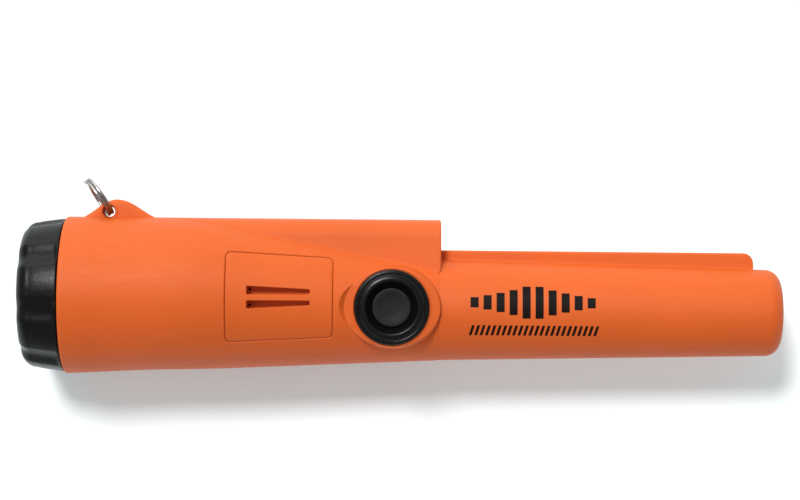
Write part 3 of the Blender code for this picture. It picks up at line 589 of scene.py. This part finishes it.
def speaker_panel(material):
    """The curved cover, made of rings that shrink towards its middle on both faces."""
    outline = [np.array(p) for p in cover_outline(0.0)]
    shares = np.concatenate([np.linspace(0.02, 0.94, 24), [0.965, 0.985]])
    under = [(share, -COVER_THICKNESS) for share in shares]
    edge = [(0.997, -COVER_THICKNESS), (0.997, -0.32), (0.992, -0.12), (0.984, -0.02)]
    over = [(share, 0.0) for share in shares[::-1][2:]]
    rings = []
    for share, drop in under + edge + over:
        ring = [COVER_MIDDLE + (p - COVER_MIDDLE) * share for p in outline]
        rings.append([(x, y, top_z(x, y) + drop) for x, y in ring])
    panel = lofted("speaker_panel", rings)
    combine(panel, "UNION", cover_boss())
    combine(panel, "DIFFERENCE", *slot_cutters())
    return as_piece(panel, "handle", "orange_shell", material, "speaker_cover", angle=32)


def cover_boss():
    """The block under the cover that the slots are sunk into."""
    rear, front = SLOT_REAR_X - BOSS_MARGIN, SLOT_FRONT_X + BOSS_MARGIN
    steps = np.linspace(0.0, 1.0, 12)
    outline = [(rear + (front - rear) * s, COVER_Y - BOSS_HALF_WIDTH) for s in steps]
    outline += [(front + (rear - front) * s, COVER_Y + BOSS_HALF_WIDTH) for s in steps]
    low = [(x, y, BOSS_Z) for x, y in outline]
    return lofted("cover_boss", [low, [(x, y, top_z(x, y) - 0.6) for x, y in outline]])


def slot_cutters():
    """The two tapering slots, with softened mouths and a flat floor, and their sound ports."""
    mouth = ((-0.45, 0.0), (-0.2, 0.06), (-0.05, 0.18), (0.5, 0.8))
    cutters = []
    for name, (side, inner, rear, front) in SLOTS.items():
        corners = [(SLOT_REAR_X, inner), (SLOT_FRONT_X, inner)]
        corners += [(SLOT_FRONT_X, front), (SLOT_REAR_X, rear)]
        corners = [(x, COVER_Y + side * y) for x, y in corners]
        centre = np.mean(corners, axis=0)
        outline = [np.array(p) for p in subdivided(rounded(corners, SLOT_CORNER, 5), 1.0)]
        rings = [[(x, y, SLOT_FLOOR_Z) for x, y in outline]]
        for lift, grow in mouth:
            ring = [p + np.sign(p - centre) * grow for p in outline]
            rings.append([(x, y, top_z(x, y) + lift) for x, y in ring])
        cutters.append(lofted(f"slot_{name}", rings))
        spot = (SLOT_REAR_X + PORT_INSET, COVER_Y + side * PORT_OUT)
        port = [(BOSS_Z - 2.0, PORT_RADIUS), (SLOT_FLOOR_Z + 1.0, PORT_RADIUS)]
        cutters.append(lathe_z(f"port_{name}", spot, port, 24, looped=False))
    return cutters


# --- cap ---


def cap_grooves(turns):
    """How much of the grooves' depth each direction has: 0 on a lobe, 1 in a groove."""
    pitch = tau / CAP_LOBES
    off_land = (turns - radians(CAP_LAND_ANGLE)) % pitch
    off_groove = np.abs(off_land - pitch / 2)
    half = radians(GROOVE_WIDTH) / 2
    return np.cos(np.clip(off_groove / half, 0.0, 1.0) * pi / 2) ** 1.3


def cap_outside(turns):
    """Rings of the cap's rear face, its rounded corner, its flaring side and front edge."""
    groove = GROOVE_DEPTH * cap_grooves(turns)
    front, wide = SEAM_X - CAP_GAP, CAP_FACE_RADIUS + CAP_CORNER
    side = front - CAP_EDGE_LENGTH - CAP_REAR_X - CAP_CORNER
    rim = [
        (CAP_CORNER * (1 - cos(a)), CAP_FACE_RADIUS + CAP_CORNER * sin(a))
        for a in np.linspace(0.0, pi / 2, 12)
    ]
    for s in np.linspace(0.0, 1.0, 12)[1:]:
        rim.append((CAP_CORNER + side * s, wide + CAP_FLARE * s**0.8))
    rings = [circle_x(CAP_REAR_X, 0.0, r, turns) for r in (0.3, 4.0, 8.0, 12.0, 15.0)]
    rings += [circle_x(CAP_REAR_X + along, 0.0, r - groove, turns) for along, r in rim]
    for back, out, share in CAP_EDGE:
        radius = wide + CAP_FLARE + out - groove * share
        rings.append(circle_x(front - back, 0.0, radius, turns))
    return rings


def cap_inside(turns):
    """Rings of the cap's sealing groove, its threaded spigot, and its bore and floor."""
    root, floor_x = SPIGOT_RADIUS - THREAD_WAVE, CAP_REAR_X + CAP_FLOOR
    spigot = ((SEAM_X - CAP_GAP, root), (SEAL_REAR_X - 0.05, root), (SEAL_REAR_X, SEAL_RADIUS))
    spigot += ((SEAL_FRONT_X, SEAL_RADIUS), (THREAD_REAR_X, root))
    bore = ((SPIGOT_END_X, root - 0.6), (SPIGOT_END_X, CAP_BORE_RADIUS + 0.4))
    bore += ((SPIGOT_END_X - 0.4, CAP_BORE_RADIUS), (floor_x + 0.2, CAP_BORE_RADIUS))
    end = [(floor_x, radius) for radius in (CAP_BORE_RADIUS - 0.2, 8.0, 0.3)]
    rings = [circle_x(x, 0.0, r, turns) for x, r in spigot]
    rings += thread_rings(SPIGOT_RADIUS, -1.0, turns)
    return rings + [circle_x(x, 0.0, r, turns) for x, r in [*bore, *end]]


def coin_slot():
    """A slot across the cap's face, deepest at its middle as a coin's edge cuts it."""
    sweep = np.linspace(-COIN_SWEEP, COIN_SWEEP, 32)
    rings = []
    for half_width, lift in ((1.2, 1.0), (1.2, 0.3), (1.5, 0.0), (2.0, -0.5)):
        line = []
        for a in sweep:
            depth = (COIN_RADIUS * cos(a) - COIN_SINK) * max(lift, 0.0)
            line.append((CAP_REAR_X + depth + min(lift, 0.0), COIN_RADIUS * sin(a)))
        ring = [(x, y, AXIS_Z - half_width) for x, y in line]
        rings.append(ring + [(x, y, AXIS_Z + half_width) for x, y in reversed(line)])
    return lofted("coin_slot", rings)


def cap_shell(material):
    """The lobed cap with its sealing groove, thread and bore, in one run from face to floor."""
    turns = full_turn(288)
    cap = lofted("cap_shell", cap_outside(turns) + cap_inside(turns))
    combine(cap, "DIFFERENCE", coin_slot())
    return as_piece(cap, "cap", "black_cap", material, "battery_cap", angle=38)


# --- tube ---


def tube_radius(x):
    """The tube's outer radius, with its rounded tip."""
    share = (x - TUBE_REAR_X) / (TIP_X - TIP_CORNER - TUBE_REAR_X)
    radius = TUBE_RADIUS + (TUBE_TIP_RADIUS - TUBE_RADIUS) * min(share, 1.0)
    return radius - edge_round(TIP_X - x, TIP_CORNER)


def tube_section(x):
    """One section: the round tube with the scraper rib standing out towards +Y."""
    radius = tube_radius(x)
    base = TUBE_Y + sqrt(radius**2 - RIB_HALF_WIDTH**2)
    top = RIB_TOP_Y
    if x > RIB_FRONT_X - RIB_NOSE:
        run = min(x - RIB_FRONT_X + RIB_NOSE, RIB_NOSE)
        top = RIB_TOP_Y - RIB_NOSE + sqrt(RIB_NOSE**2 - run**2)
    height = max(top - base, 0.0) if STEP_X < x <= RIB_FRONT_X else 0.0
    width, crest = RIB_HALF_WIDTH, base + height
    corner, fillet = min(RIB_CORNER, height * 0.45), min(RIB_FILLET, height * 0.45)
    quarter = np.linspace(0.0, pi / 2, 7)
    start = asin((width + fillet) / radius)
    half = [(crest, 0.0), (crest, 0.4), (crest, width - corner)]
    for a in quarter[1:]:
        half.append((crest - corner * (1 - cos(a)), width - corner * (1 - sin(a))))
    half += [(base + fillet + (height - corner - fillet) * s, width) for s in (0.66, 0.33)]
    for a in quarter:
        half.append((base + fillet * (1 - sin(a)), width + fillet * (1 - cos(a))))
    if height == 0.0:
        half = arc((TUBE_Y, 0.0), radius, np.linspace(0.0, start, len(half)))
    half += arc((TUBE_Y, 0.0), radius, np.linspace(start, pi, 90)[1:])
    whole = half + [(y, -z) for y, z in reversed(half[1:-1])]
    return [(x, y, AXIS_Z + z) for y, z in whole]


def tube_stations():
    """Places along the tube where its section is drawn, closer at the rib's nose and the tip."""
    rear, quarter = TUBE_REAR_X + 0.03, pi / 2
    stations = [rear, rear + 0.4, STEP_X + 0.02, STEP_X + 0.03]
    stations += list(np.arange(67.0, RIB_FRONT_X - RIB_NOSE, 1.5))
    for a in np.linspace(0, quarter, 14):
        stations.append(RIB_FRONT_X - RIB_NOSE * (1 - sin(a)))
    stations += [RIB_FRONT_X + 0.01, 161.6, 162.5]
    for a in np.linspace(0, quarter, 16)[:-1]:
        stations.append(TIP_X - TIP_CORNER * (1 - sin(a)))
    return stations


def tube_shell(material):
    """The tube with its spigot, its sealing groove, and its bore up to the tip's wall."""
    stations = tube_stations()
    outside = [np.array(tube_section(x)).tolist() for x in stations]
    turns = np.array([atan2(z - AXIS_Z, y - TUBE_Y) for _, y, z in outside[-1]])
    face = [circle_x(TIP_X, TUBE_Y, radius, turns) for radius in (8.5, 6.0, 3.5, 1.2, 0.3)]
    inside = [*reversed(TUBE_INSIDE), (stations[0], TUBE_INSIDE[0][1])]
    inside = [circle_x(x, TUBE_Y, radius, turns).tolist() for x, radius in inside]
    tube = lofted("tube_shell", inside + outside + [ring.tolist() for ring in face])
    return as_piece(tube, "handle", "orange_shell", material, "probe_tube", angle=32)


def tube_top(x, y, lift):
    """Height of the tube's surface over a point, raised by lift."""
    return AXIS_Z + sqrt((tube_radius(x) + lift) ** 2 - (y - TUBE_Y) ** 2)


def print_patch(bm, left, right, low, high, slant):
    """Adds a thin closed patch of ink that follows the tube, slanted like italics."""
    across, up = 8, 12
    faces = []
    for lift in (PRINT_HEIGHT, -PRINT_DEPTH):
        grid = []
        for i in range(across + 1):
            for j in range(up + 1):
                y = low + (high - low) * j / up
                x = left + (right - left) * i / across + slant * (y - low)
                grid.append(bm.verts.new(Vector((x, y, tube_top(x, y, lift))) * MM))
        faces.append(grid)
    top, bottom = faces
    n = up + 1
    for i in range(across):
        for j in range(up):
            k = (i * n + j, (i + 1) * n + j, (i + 1) * n + j + 1, i * n + j + 1)
            bm.faces.new([top[q] for q in k])
            bm.faces.new([bottom[q] for q in reversed(k)])
    rim = [i * n for i in range(across + 1)] + [across * n + j for j in range(1, n)]
    rim += [i * n + up for i in range(across - 1, -1, -1)] + list(range(up - 1, 0, -1))
    for p, q in zip(rim, rim[1:] + rim[:1]):
        bm.faces.new((top[q], top[p], bottom[p], bottom[q]))


def tube_print(material):
    """A plain signal-strength graphic: a row of bars over a strip of slanted ticks."""
    bm = bmesh.new()
    pitch = (PRINT_FRONT_X - PRINT_REAR_X) / len(BAR_HEIGHTS)
    for i, share in enumerate(BAR_HEIGHTS):
        left, half = PRINT_REAR_X + i * pitch, BAR_HALF * share
        print_patch(bm, left, left + pitch * BAR_SHARE, BAR_MIDDLE_Y - half, BAR_MIDDLE_Y + half, 0.0)
    pitch = (PRINT_FRONT_X - PRINT_REAR_X) / TICK_COUNT
    for i in range(TICK_COUNT):
        left = PRINT_REAR_X - 0.4 + i * pitch
        print_patch(bm, left, left + pitch * 0.5, TICK_LOW_Y, TICK_HIGH_Y, TICK_SLANT)
    bmesh.ops.recalc_face_normals(bm, faces=bm.faces)
    mesh = bpy.data.meshes.new("tube_print")
    bm.to_mesh(mesh)
    bm.free()
    return as_piece(placed("tube_print", mesh), "handle", "orange_shell", material)


# --- button ---


def curve_through(points, steps):
    """A smooth line through (z, radius) points, by Catmull-Rom pieces."""
    pts = [np.array(p, float) for p in points]
    out = []
    for i in range(len(pts) - 1):
        a, b, c, d = pts[max(i - 1, 0)], pts[i], pts[i + 1], pts[min(i + 2, len(pts) - 1)]
        square, cube = 2 * a - 5 * b + 4 * c - d, 3 * b - a - 3 * c + d
        for s in np.arange(steps) / steps:
            out.append(tuple(0.5 * (2 * b + (c - a) * s + square * s**2 + cube * s**3)))
    out.append(tuple(pts[-1]))
    return out


def button_ring(material):
    """The bezel: a skirt, a raised inner rim, and a stepped bore for the button."""
    skirt = ((0.0, 11.0), (0.1, 11.2), (0.6, 11.18), (1.0, 10.85), (1.12, 10.2))
    crest = ((1.02, 10.0), (1.25, 9.85), (1.75, 9.35), (2.0, 8.55), (1.95, 8.0))
    crest += ((1.7, 7.72), (0.9, 7.2), (0.1, 6.6), (-0.25, 6.2))
    profile = curve_through([(BEZEL_Z + rise, radius) for rise, radius in skirt], 5)
    profile += curve_through([(BEZEL_Z + rise, radius) for rise, radius in crest], 5)
    profile += [(BEZEL_Z - 0.4, BEZEL_BORE), (BEZEL_FLOOR_Z, BEZEL_BORE)]
    profile += [(BEZEL_FLOOR_Z, BEZEL_HOLE), (BEZEL_UNDER_Z, BEZEL_HOLE)]
    profile += [(BEZEL_UNDER_Z, BEZEL_NECK), (BEZEL_Z, BEZEL_NECK)]
    ring = lathe_z("button_ring", (BUTTON_X, BUTTON_Y), profile, 160)
    return as_piece(ring, "handle", "bezel", material, "button_bezel", angle=40)


def button_disc(material):
    """The button: a stem and a dished rubber top."""
    dish = ((0.35, 5.8), (0.08, 5.68), (0.0, 5.3), (0.03, 4.6), (0.16, 3.4), (0.24, 2.6))
    dish += ((0.27, 1.4), (0.28, 0.2))
    profile = [(STEM_LOW_Z, 0.2), (STEM_LOW_Z, STEM_RADIUS), (DISC_LOW_Z, STEM_RADIUS)]
    profile += [(DISC_LOW_Z, DISC_RADIUS - 0.2), (DISC_LOW_Z + 0.15, DISC_RADIUS)]
    profile += curve_through([(BUTTON_Z - drop, radius) for drop, radius in dish], 5)
    disc = lathe_z("button_disc", (BUTTON_X, BUTTON_Y), profile, 128, looped=False)
    return as_piece(disc, "button", "black_button", material, "button_cap", angle=40)


def pad_lip(material):
    """A thin raised bead on the pad, round the bezel."""
    bead = [
        (PAD_Z - 0.1 + LIP_RISE * sin(a), LIP_RADIUS + LIP_THICK * cos(a))
        for a in full_turn(16)
    ]
    lip = lathe_z("pad_lip", (BUTTON_X, BUTTON_Y), bead, 160)
    return as_piece(lip, "handle", "orange_shell", material, angle=60)


def spring_coil(material):
    """The return spring in fine round wire."""
    low, high = span("button_spring", 2)
    left, right = span("button_spring", 0)
    radius, per_turn = (right - left) / 2 - SPRING_WIRE, 48
    count = int(SPRING_TURNS * per_turn)
    up = Vector((0.0, 0.0, 1.0))
    rings = []
    for i in range(count + 1):
        angle = tau * i / per_turn
        out = Vector((cos(angle), sin(angle), 0.0))
        rise = low + SPRING_WIRE + (high - low - 2 * SPRING_WIRE) * i / count
        spot = Vector((BUTTON_X, BUTTON_Y, rise)) + out * radius
        section = [(out * cos(a) + up * sin(a)) * SPRING_WIRE for a in full_turn(12)]
        rings.append([tuple(spot + offset) for offset in section])
    coil = lofted("spring_coil", rings)
    as_piece(coil, "handle", "steel", material, "button_spring", angle=60)
    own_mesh(coil)


# --- key ring ---


def key_ring(material):
    """A split ring: nearly two turns of slightly flattened wire, stepping at the split."""
    low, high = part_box("split_ring")
    centre = (Vector(low) + Vector(high)) / 2 / MM
    heading, tilt = radians(RING_HEADING), radians(RING_TILT)
    out = Vector((cos(heading), sin(heading), 0.0))
    side = Vector((-sin(heading), cos(heading), 0.0))
    axis = side * cos(tilt) + Vector((0.0, 0.0, 1.0)) * sin(tilt)
    across = axis.cross(out).normalized()
    per_turn = 110
    count = int(RING_TURNS * per_turn)
    rings = []
    for i in range(count + 1):
        angle = tau * i / per_turn + radians(RING_START)
        radial = out * cos(angle) + across * sin(angle)
        taper = min(1.0, 0.55 + 0.45 * min(i, count - i) / 4)
        step = axis * RING_STEP * (i / per_turn - RING_TURNS / 2)
        spot = centre + radial * RING_RADIUS + step
        ring = []
        for a in full_turn(20):
            c, s = cos(a), sin(a)
            flat = (abs(c) ** 3 + abs(s) ** 3) ** (-1 / 3)
            wire = radial * c * RING_WIRE_FLAT + axis * s * RING_WIRE
            ring.append(tuple(spot + wire * flat * taper))
        rings.append(ring)
    ring = lofted("key_ring", rings)
    return as_piece(ring, "key_ring", "steel", material, "split_ring", angle=50)


# --- materials ---


class Nodes:
    """A small helper that adds nodes and links them by name."""

    def __init__(self, name, color, roughness, metallic=0.0, specular=0.5):
        self.material = bpy.data.materials.new(name)
        self.material.use_nodes = True
        self.tree = self.material.node_tree
        self.shader = self.tree.nodes["Principled BSDF"]
        self.shader.inputs["Base Color"].default_value = (*color, 1.0)
        self.shader.inputs["Roughness"].default_value = roughness
        self.shader.inputs["Metallic"].default_value = metallic
        self.shader.inputs["Specular IOR Level"].default_value = specular
        place = self.add("ShaderNodeTexCoord")
        scale = self.add("ShaderNodeMapping")
        scale.inputs["Scale"].default_value = (1 / MM, 1 / MM, 1 / MM)
        self.link(place.outputs["Object"], scale.inputs["Vector"])
        self.place = scale.outputs["Vector"]  # millimetres

    def add(self, kind, **settings):
        node = self.tree.nodes.new(kind)
        for key, value in settings.items():
            setattr(node, key, value)
        return node

    def link(self, out, into):
        self.tree.links.new(out, into)

    def stretched(self, scale):
        node = self.add("ShaderNodeMapping")
        node.inputs["Scale"].default_value = scale
        self.link(self.place, node.inputs["Vector"])
        return node.outputs["Vector"]

    def noise(self, size, detail=3.0, place=None):
        """Noise whose features are about size millimetres wide."""
        node = self.add("ShaderNodeTexNoise")
        node.inputs["Scale"].default_value = 1.0 / size
        node.inputs["Detail"].default_value = detail
        self.link(place or self.place, node.inputs["Vector"])
        return node.outputs["Fac"]

    def cells(self, scale, **settings):
        """Distances in a pattern of random cells."""
        node = self.add("ShaderNodeTexVoronoi", **settings)
        node.inputs["Scale"].default_value = scale
        self.link(self.place, node.inputs["Vector"])
        return node.outputs["Distance"]

    def remap(self, value, low, high, start=0.0, end=1.0):
        node = self.add("ShaderNodeMapRange")
        limits = {"From Min": start, "From Max": end, "To Min": low, "To Max": high}
        for key, number in limits.items():
            node.inputs[key].default_value = number
        self.link(value, node.inputs["Value"])
        return node.outputs["Result"]

    def mix(self, share, first, second, blend="MIX"):
        node = self.add("ShaderNodeMix", data_type="RGBA", blend_type=blend)
        self.link(share, node.inputs["Factor"])
        for socket, value in ((node.inputs[6], first), (node.inputs[7], second)):
            if isinstance(value, tuple):
                socket.default_value = (*value, 1.0)
            else:
                self.link(value, socket)
        return node.outputs[2]

    def color(self, value):
        self.link(value, self.shader.inputs["Base Color"])

    def roughness(self, value):
        self.link(value, self.shader.inputs["Roughness"])

    def bump(self, height, depth_mm, strength=1.0, after=None):
        node = self.add("ShaderNodeBump")
        node.inputs["Distance"].default_value = depth_mm * MM
        node.inputs["Strength"].default_value = strength
        self.link(height, node.inputs["Height"])
        if after:
            self.link(after, node.inputs["Normal"])
        return node.outputs["Normal"]

    def normal(self, value):
        self.link(value, self.shader.inputs["Normal"])

    def edges(self, start=0.57, end=0.70):
        """0 on open surfaces, 1 on sharp outer edges."""
        shape = self.add("ShaderNodeNewGeometry")
        return self.remap(shape.outputs["Pointiness"], 0.0, 1.0, start, end)


def moulded(name, color, worn, roughness, grain=0.42, depth=0.02, specular=0.5):
    """Textured moulded plastic: fine grain, slow tint changes, rubbed edges, faint scuffs."""
    n = Nodes(name, color, roughness, specular=specular)
    tint = n.remap(n.noise(30.0, 2.0), 0.0, 1.0, 0.3, 0.7)
    deeper = tuple(c * 0.93 for c in color)
    base = n.mix(tint, deeper, color)
    speck = n.remap(n.noise(0.5, 2.0), 0.0, 0.10, 0.45, 0.75)
    base = n.mix(speck, base, worn)
    rubbed = n.mix(n.remap(n.edges(), 0.0, 0.30), base, worn)
    n.color(rubbed)
    scuff = n.noise(1.0, 4.0, n.stretched((0.12, 0.9, 0.9)))
    n.roughness(n.remap(scuff, roughness - 0.05, roughness + 0.07, 0.3, 0.7))
    slow = n.bump(n.noise(22.0, 2.0), 0.04, 0.35)
    n.normal(n.bump(n.noise(grain, 2.0), depth, 1.0, slow))
    return n.material


def satin_rubber(name, color, worn):
    """Matt rubber with a little dust in its grain."""
    n = Nodes(name, color, 0.5, specular=0.2)
    dust = n.remap(n.noise(1.6, 5.0), 0.0, 0.35, 0.5, 0.8)
    n.color(n.mix(dust, color, worn))
    n.roughness(n.remap(n.noise(3.0, 3.0), 0.42, 0.6))
    n.normal(n.bump(n.noise(0.3, 2.0), 0.015))
    return n.material


def drawn_metal(name, color, dark, roughness, along=(0.2, 1.0, 1.0)):
    """Metal with fine drawing lines along X and a few darker stains."""
    n = Nodes(name, color, roughness, metallic=1.0)
    lines = n.noise(0.25, 3.0, n.stretched(along))
    n.color(n.mix(n.remap(n.noise(2.2, 4.0), 0.0, 0.6, 0.45, 0.75), color, dark))
    n.roughness(n.remap(lines, roughness - 0.07, roughness + 0.12, 0.3, 0.7))
    n.normal(n.bump(lines, 0.01))
    return n.material


def wound_wire(name, color, dark):
    """Enamelled wire: close turns across X."""
    n = Nodes(name, color, 0.3, metallic=0.8)
    wave = n.add("ShaderNodeTexWave", bands_direction="X")
    wave.inputs["Scale"].default_value = 1.0
    wave.inputs["Distortion"].default_value = 0.3
    n.link(n.place, wave.inputs["Vector"])
    n.color(n.mix(wave.outputs["Fac"], dark, color))
    n.roughness(n.remap(n.noise(2.0, 3.0), 0.22, 0.4))
    n.normal(n.bump(wave.outputs["Fac"], 0.08))
    return n.material


def laminate(name, color, track):
    """Board laminate with tracks under its mask."""
    n = Nodes(name, color, 0.4)
    cells = n.cells(0.35, feature="DISTANCE_TO_EDGE", distance="MANHATTAN")
    lines = n.remap(cells, 1.0, 0.0, 0.04, 0.07)
    n.color(n.mix(lines, color, track))
    n.roughness(n.remap(n.noise(3.0, 3.0), 0.3, 0.48))
    n.normal(n.bump(lines, 0.03))
    return n.material


def open_foam(name, color, dark):
    """Soft foam with dark pores."""
    n = Nodes(name, color, 0.95, specular=0.2)
    pores = n.remap(n.cells(1.8), 0.0, 1.0, 0.1, 0.7)
    n.color(n.mix(pores, dark, color))
    n.roughness(n.remap(n.noise(1.0, 3.0), 0.88, 1.0))
    n.normal(n.bump(pores, 0.15))
    return n.material


def ink(name, color):
    """Printed ink, slightly worn so that the plastic warms it in places."""
    n = Nodes(name, color, 0.6, specular=0.08)
    wear = n.remap(n.noise(0.8, 4.0), 0.0, 0.5, 0.5, 0.9)
    n.color(n.mix(wear, color, (0.03, 0.012, 0.008)))
    n.roughness(n.remap(n.noise(1.2, 3.0), 0.4, 0.55))
    n.normal(n.bump(n.noise(0.4, 2.0), 0.01))
    return n.material


def clear_resin(name, color):
    """Clear moulded resin with faint waves and smears."""
    n = Nodes(name, color, 0.08)
    n.shader.inputs["Transmission Weight"].default_value = 0.85
    n.shader.inputs["IOR"].default_value = 1.5
    n.color(n.mix(n.noise(2.0, 3.0), color, tuple(c * 0.93 for c in color)))
    n.roughness(n.remap(n.noise(1.5, 4.0), 0.04, 0.14))
    n.normal(n.bump(n.noise(1.2, 2.0), 0.01))
    return n.material


def paint(material, *nodes):
    """Gives CAD nodes that keep their shape a better material."""
    for name in nodes:
        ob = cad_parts[name]
        if not ob.material_slots:
            ob.data.materials.append(material)
        for holder in ob.material_slots:
            holder.material = material


# --- studio ---

OBJECT_MIDDLE = Vector((0.05, 0.0, 0.02))
PAPER, PAPER_LIGHTER, PAPER_GLOW = (0.83, 0.86, 0.862), (0.845, 0.875, 0.877), (0.74, 1.0, 1.03, 1.0)
CAMERA_OVER, CAMERA_HEIGHT, CAMERA_ROLL, CAMERA_LENS = (0.05365, 0.01458), 0.7152, 0.55, 105.9


def paper_floor():
    """A wide sheet of pale paper just under the object, glowing faintly."""
    bpy.ops.mesh.primitive_plane_add(size=40.0, location=(0.05, 0.0, -0.00005))
    sheet = bpy.context.object
    sheet.name = "floor"
    n = Nodes("floor_paper", PAPER, 0.9, specular=0.1)
    n.color(n.mix(n.noise(30.0, 2.0), PAPER, PAPER_LIGHTER))
    n.shader.inputs["Emission Color"].default_value = PAPER_GLOW
    n.shader.inputs["Emission Strength"].default_value = 0.18
    sheet.data.materials.append(n.material)


def studio():
    """The floor, even white air, a soft sun from the upper left, and one large soft box."""
    scene = bpy.context.scene
    scene.view_settings.view_transform = "Standard"
    paper_floor()
    world = bpy.data.worlds.new("studio_air")
    world.use_nodes = True
    air = world.node_tree.nodes["Background"]
    air.inputs["Color"].default_value = (1.0, 1.0, 1.0, 1.0)
    air.inputs["Strength"].default_value = 0.46
    scene.world = world
    add_sun("key", toward=Vector((-0.28, 0.52, 1.0)), strength=2.55, spread=14.0)
    add_area("top_left_box", spot=(-0.30, 1.0, 0.32), size=0.9, power=5.5)


def add_sun(name, toward, strength, spread):
    """A sun that shines from the direction toward, spread over an angle in degrees."""
    light = bpy.data.lights.new(name, "SUN")
    light.energy = strength
    light.angle = radians(spread)
    placed(name, light).rotation_euler = toward.to_track_quat("Z", "Y").to_euler()


def add_area(name, spot, size, power):
    """A square soft box at spot, aimed at the object; sizes and places in metres."""
    light = bpy.data.lights.new(name, "AREA")
    light.energy, light.size = power, size
    ob = placed(name, light)
    ob.location = spot
    ob.rotation_euler = (Vector(spot) - OBJECT_MIDDLE).to_track_quat("Z", "Y").to_euler()


def camera():
    """Straight down on the object, from about 715 mm above its axis, with a slight roll."""
    data = bpy.data.cameras.new("camera")
    data.lens = CAMERA_LENS
    data.clip_start = 0.01
    ob = placed("camera", data)
    ob.location = (*CAMERA_OVER, AXIS_Z * MM + CAMERA_HEIGHT)
    ob.rotation_euler = (0.0, 0.0, radians(CAMERA_ROLL))
    bpy.context.scene.camera = ob


# --- everything ---

ORANGE, ORANGE_WORN = (0.64, 0.106, 0.014), (0.76, 0.20, 0.06)
BLACK, BLACK_WORN = (0.003, 0.0026, 0.003), (0.016, 0.014, 0.016)
GLOSS, GLOSS_WORN = (0.003, 0.003, 0.0035), (0.014, 0.013, 0.014)
RUBBER, RUBBER_DUSTY = (0.006, 0.0055, 0.006), (0.016, 0.015, 0.016)

camera()
orange = moulded("orange_plastic", ORANGE, ORANGE_WORN, 0.53, 0.5, 0.035, 0.22)
black = moulded("cap_plastic", BLACK, BLACK_WORN, 0.29, 0.5, 0.04, 0.17)
gloss_black = moulded("ring_plastic", GLOSS, GLOSS_WORN, 0.27, 0.5, 0.02, 0.17)
rubber = satin_rubber("button_rubber", RUBBER, RUBBER_DUSTY)
steel = drawn_metal("ring_steel", (0.36, 0.33, 0.32), (0.12, 0.09, 0.085), 0.26)

handle_shell(orange)
speaker_panel(orange)
cap_shell(black)
tube_shell(orange)
tube_print(ink("print_ink", (0.006, 0.0035, 0.003)))
button_ring(gloss_black)
button_disc(rubber)
pad_lip(orange)
spring_coil(steel)
key_ring(steel)

plated = drawn_metal("nickel_plate", (0.66, 0.63, 0.57), (0.35, 0.31, 0.26), 0.28)
inner = moulded("inner_plastic", (0.03, 0.03, 0.034), (0.07, 0.07, 0.075), 0.5)
board = laminate("board_laminate", (0.01, 0.12, 0.045), (0.03, 0.22, 0.09))
foam = open_foam("grey_foam", (0.10, 0.10, 0.11), (0.02, 0.02, 0.022))
copper = wound_wire("copper_wire", (0.72, 0.28, 0.10), (0.25, 0.07, 0.02))
lens = clear_resin("clear_resin", (0.92, 0.95, 0.97))
paint(plated, "battery_stud", "battery_cup", "contact_clip", "contact_stud", "speaker_magnet",
      "board_screw_rear", "board_screw_middle", "board_screw_front", "reservoir_capacitor",
      "switch_plunger", "vibration_motor")
paint(inner, "battery_sleeve", "speaker_frame", "board_tray", "control_chip", "switch_body")
paint(board, "circuit_board", "contact_plate")
paint(foam, "cap_pressure_pad", "speaker_gasket", "nose_cushion", "rod_cushion")
paint(copper, "receive_winding", "transmit_winding")
paint(lens, "led_lamp", "led_lens")
paint(rubber, "cap_o_ring", "tube_o_ring")
paint(steel, "motor_shaft")
paint(drawn_metal("alloy", (0.46, 0.40, 0.31), (0.26, 0.21, 0.15), 0.4), "eccentric_weight")
paint(moulded("battery_jacket", (0.05, 0.09, 0.20), (0.2, 0.22, 0.26), 0.35), "battery")
paint(satin_rubber("speaker_paper", (0.045, 0.038, 0.03), (0.08, 0.07, 0.06)), "speaker_cone")
paint(moulded("ferrite", (0.035, 0.033, 0.035), (0.09, 0.085, 0.085), 0.6), "ferrite_core")
paint(moulded("former_plastic", (0.60, 0.56, 0.46), (0.7, 0.67, 0.6), 0.5), "coil_former")
studio()
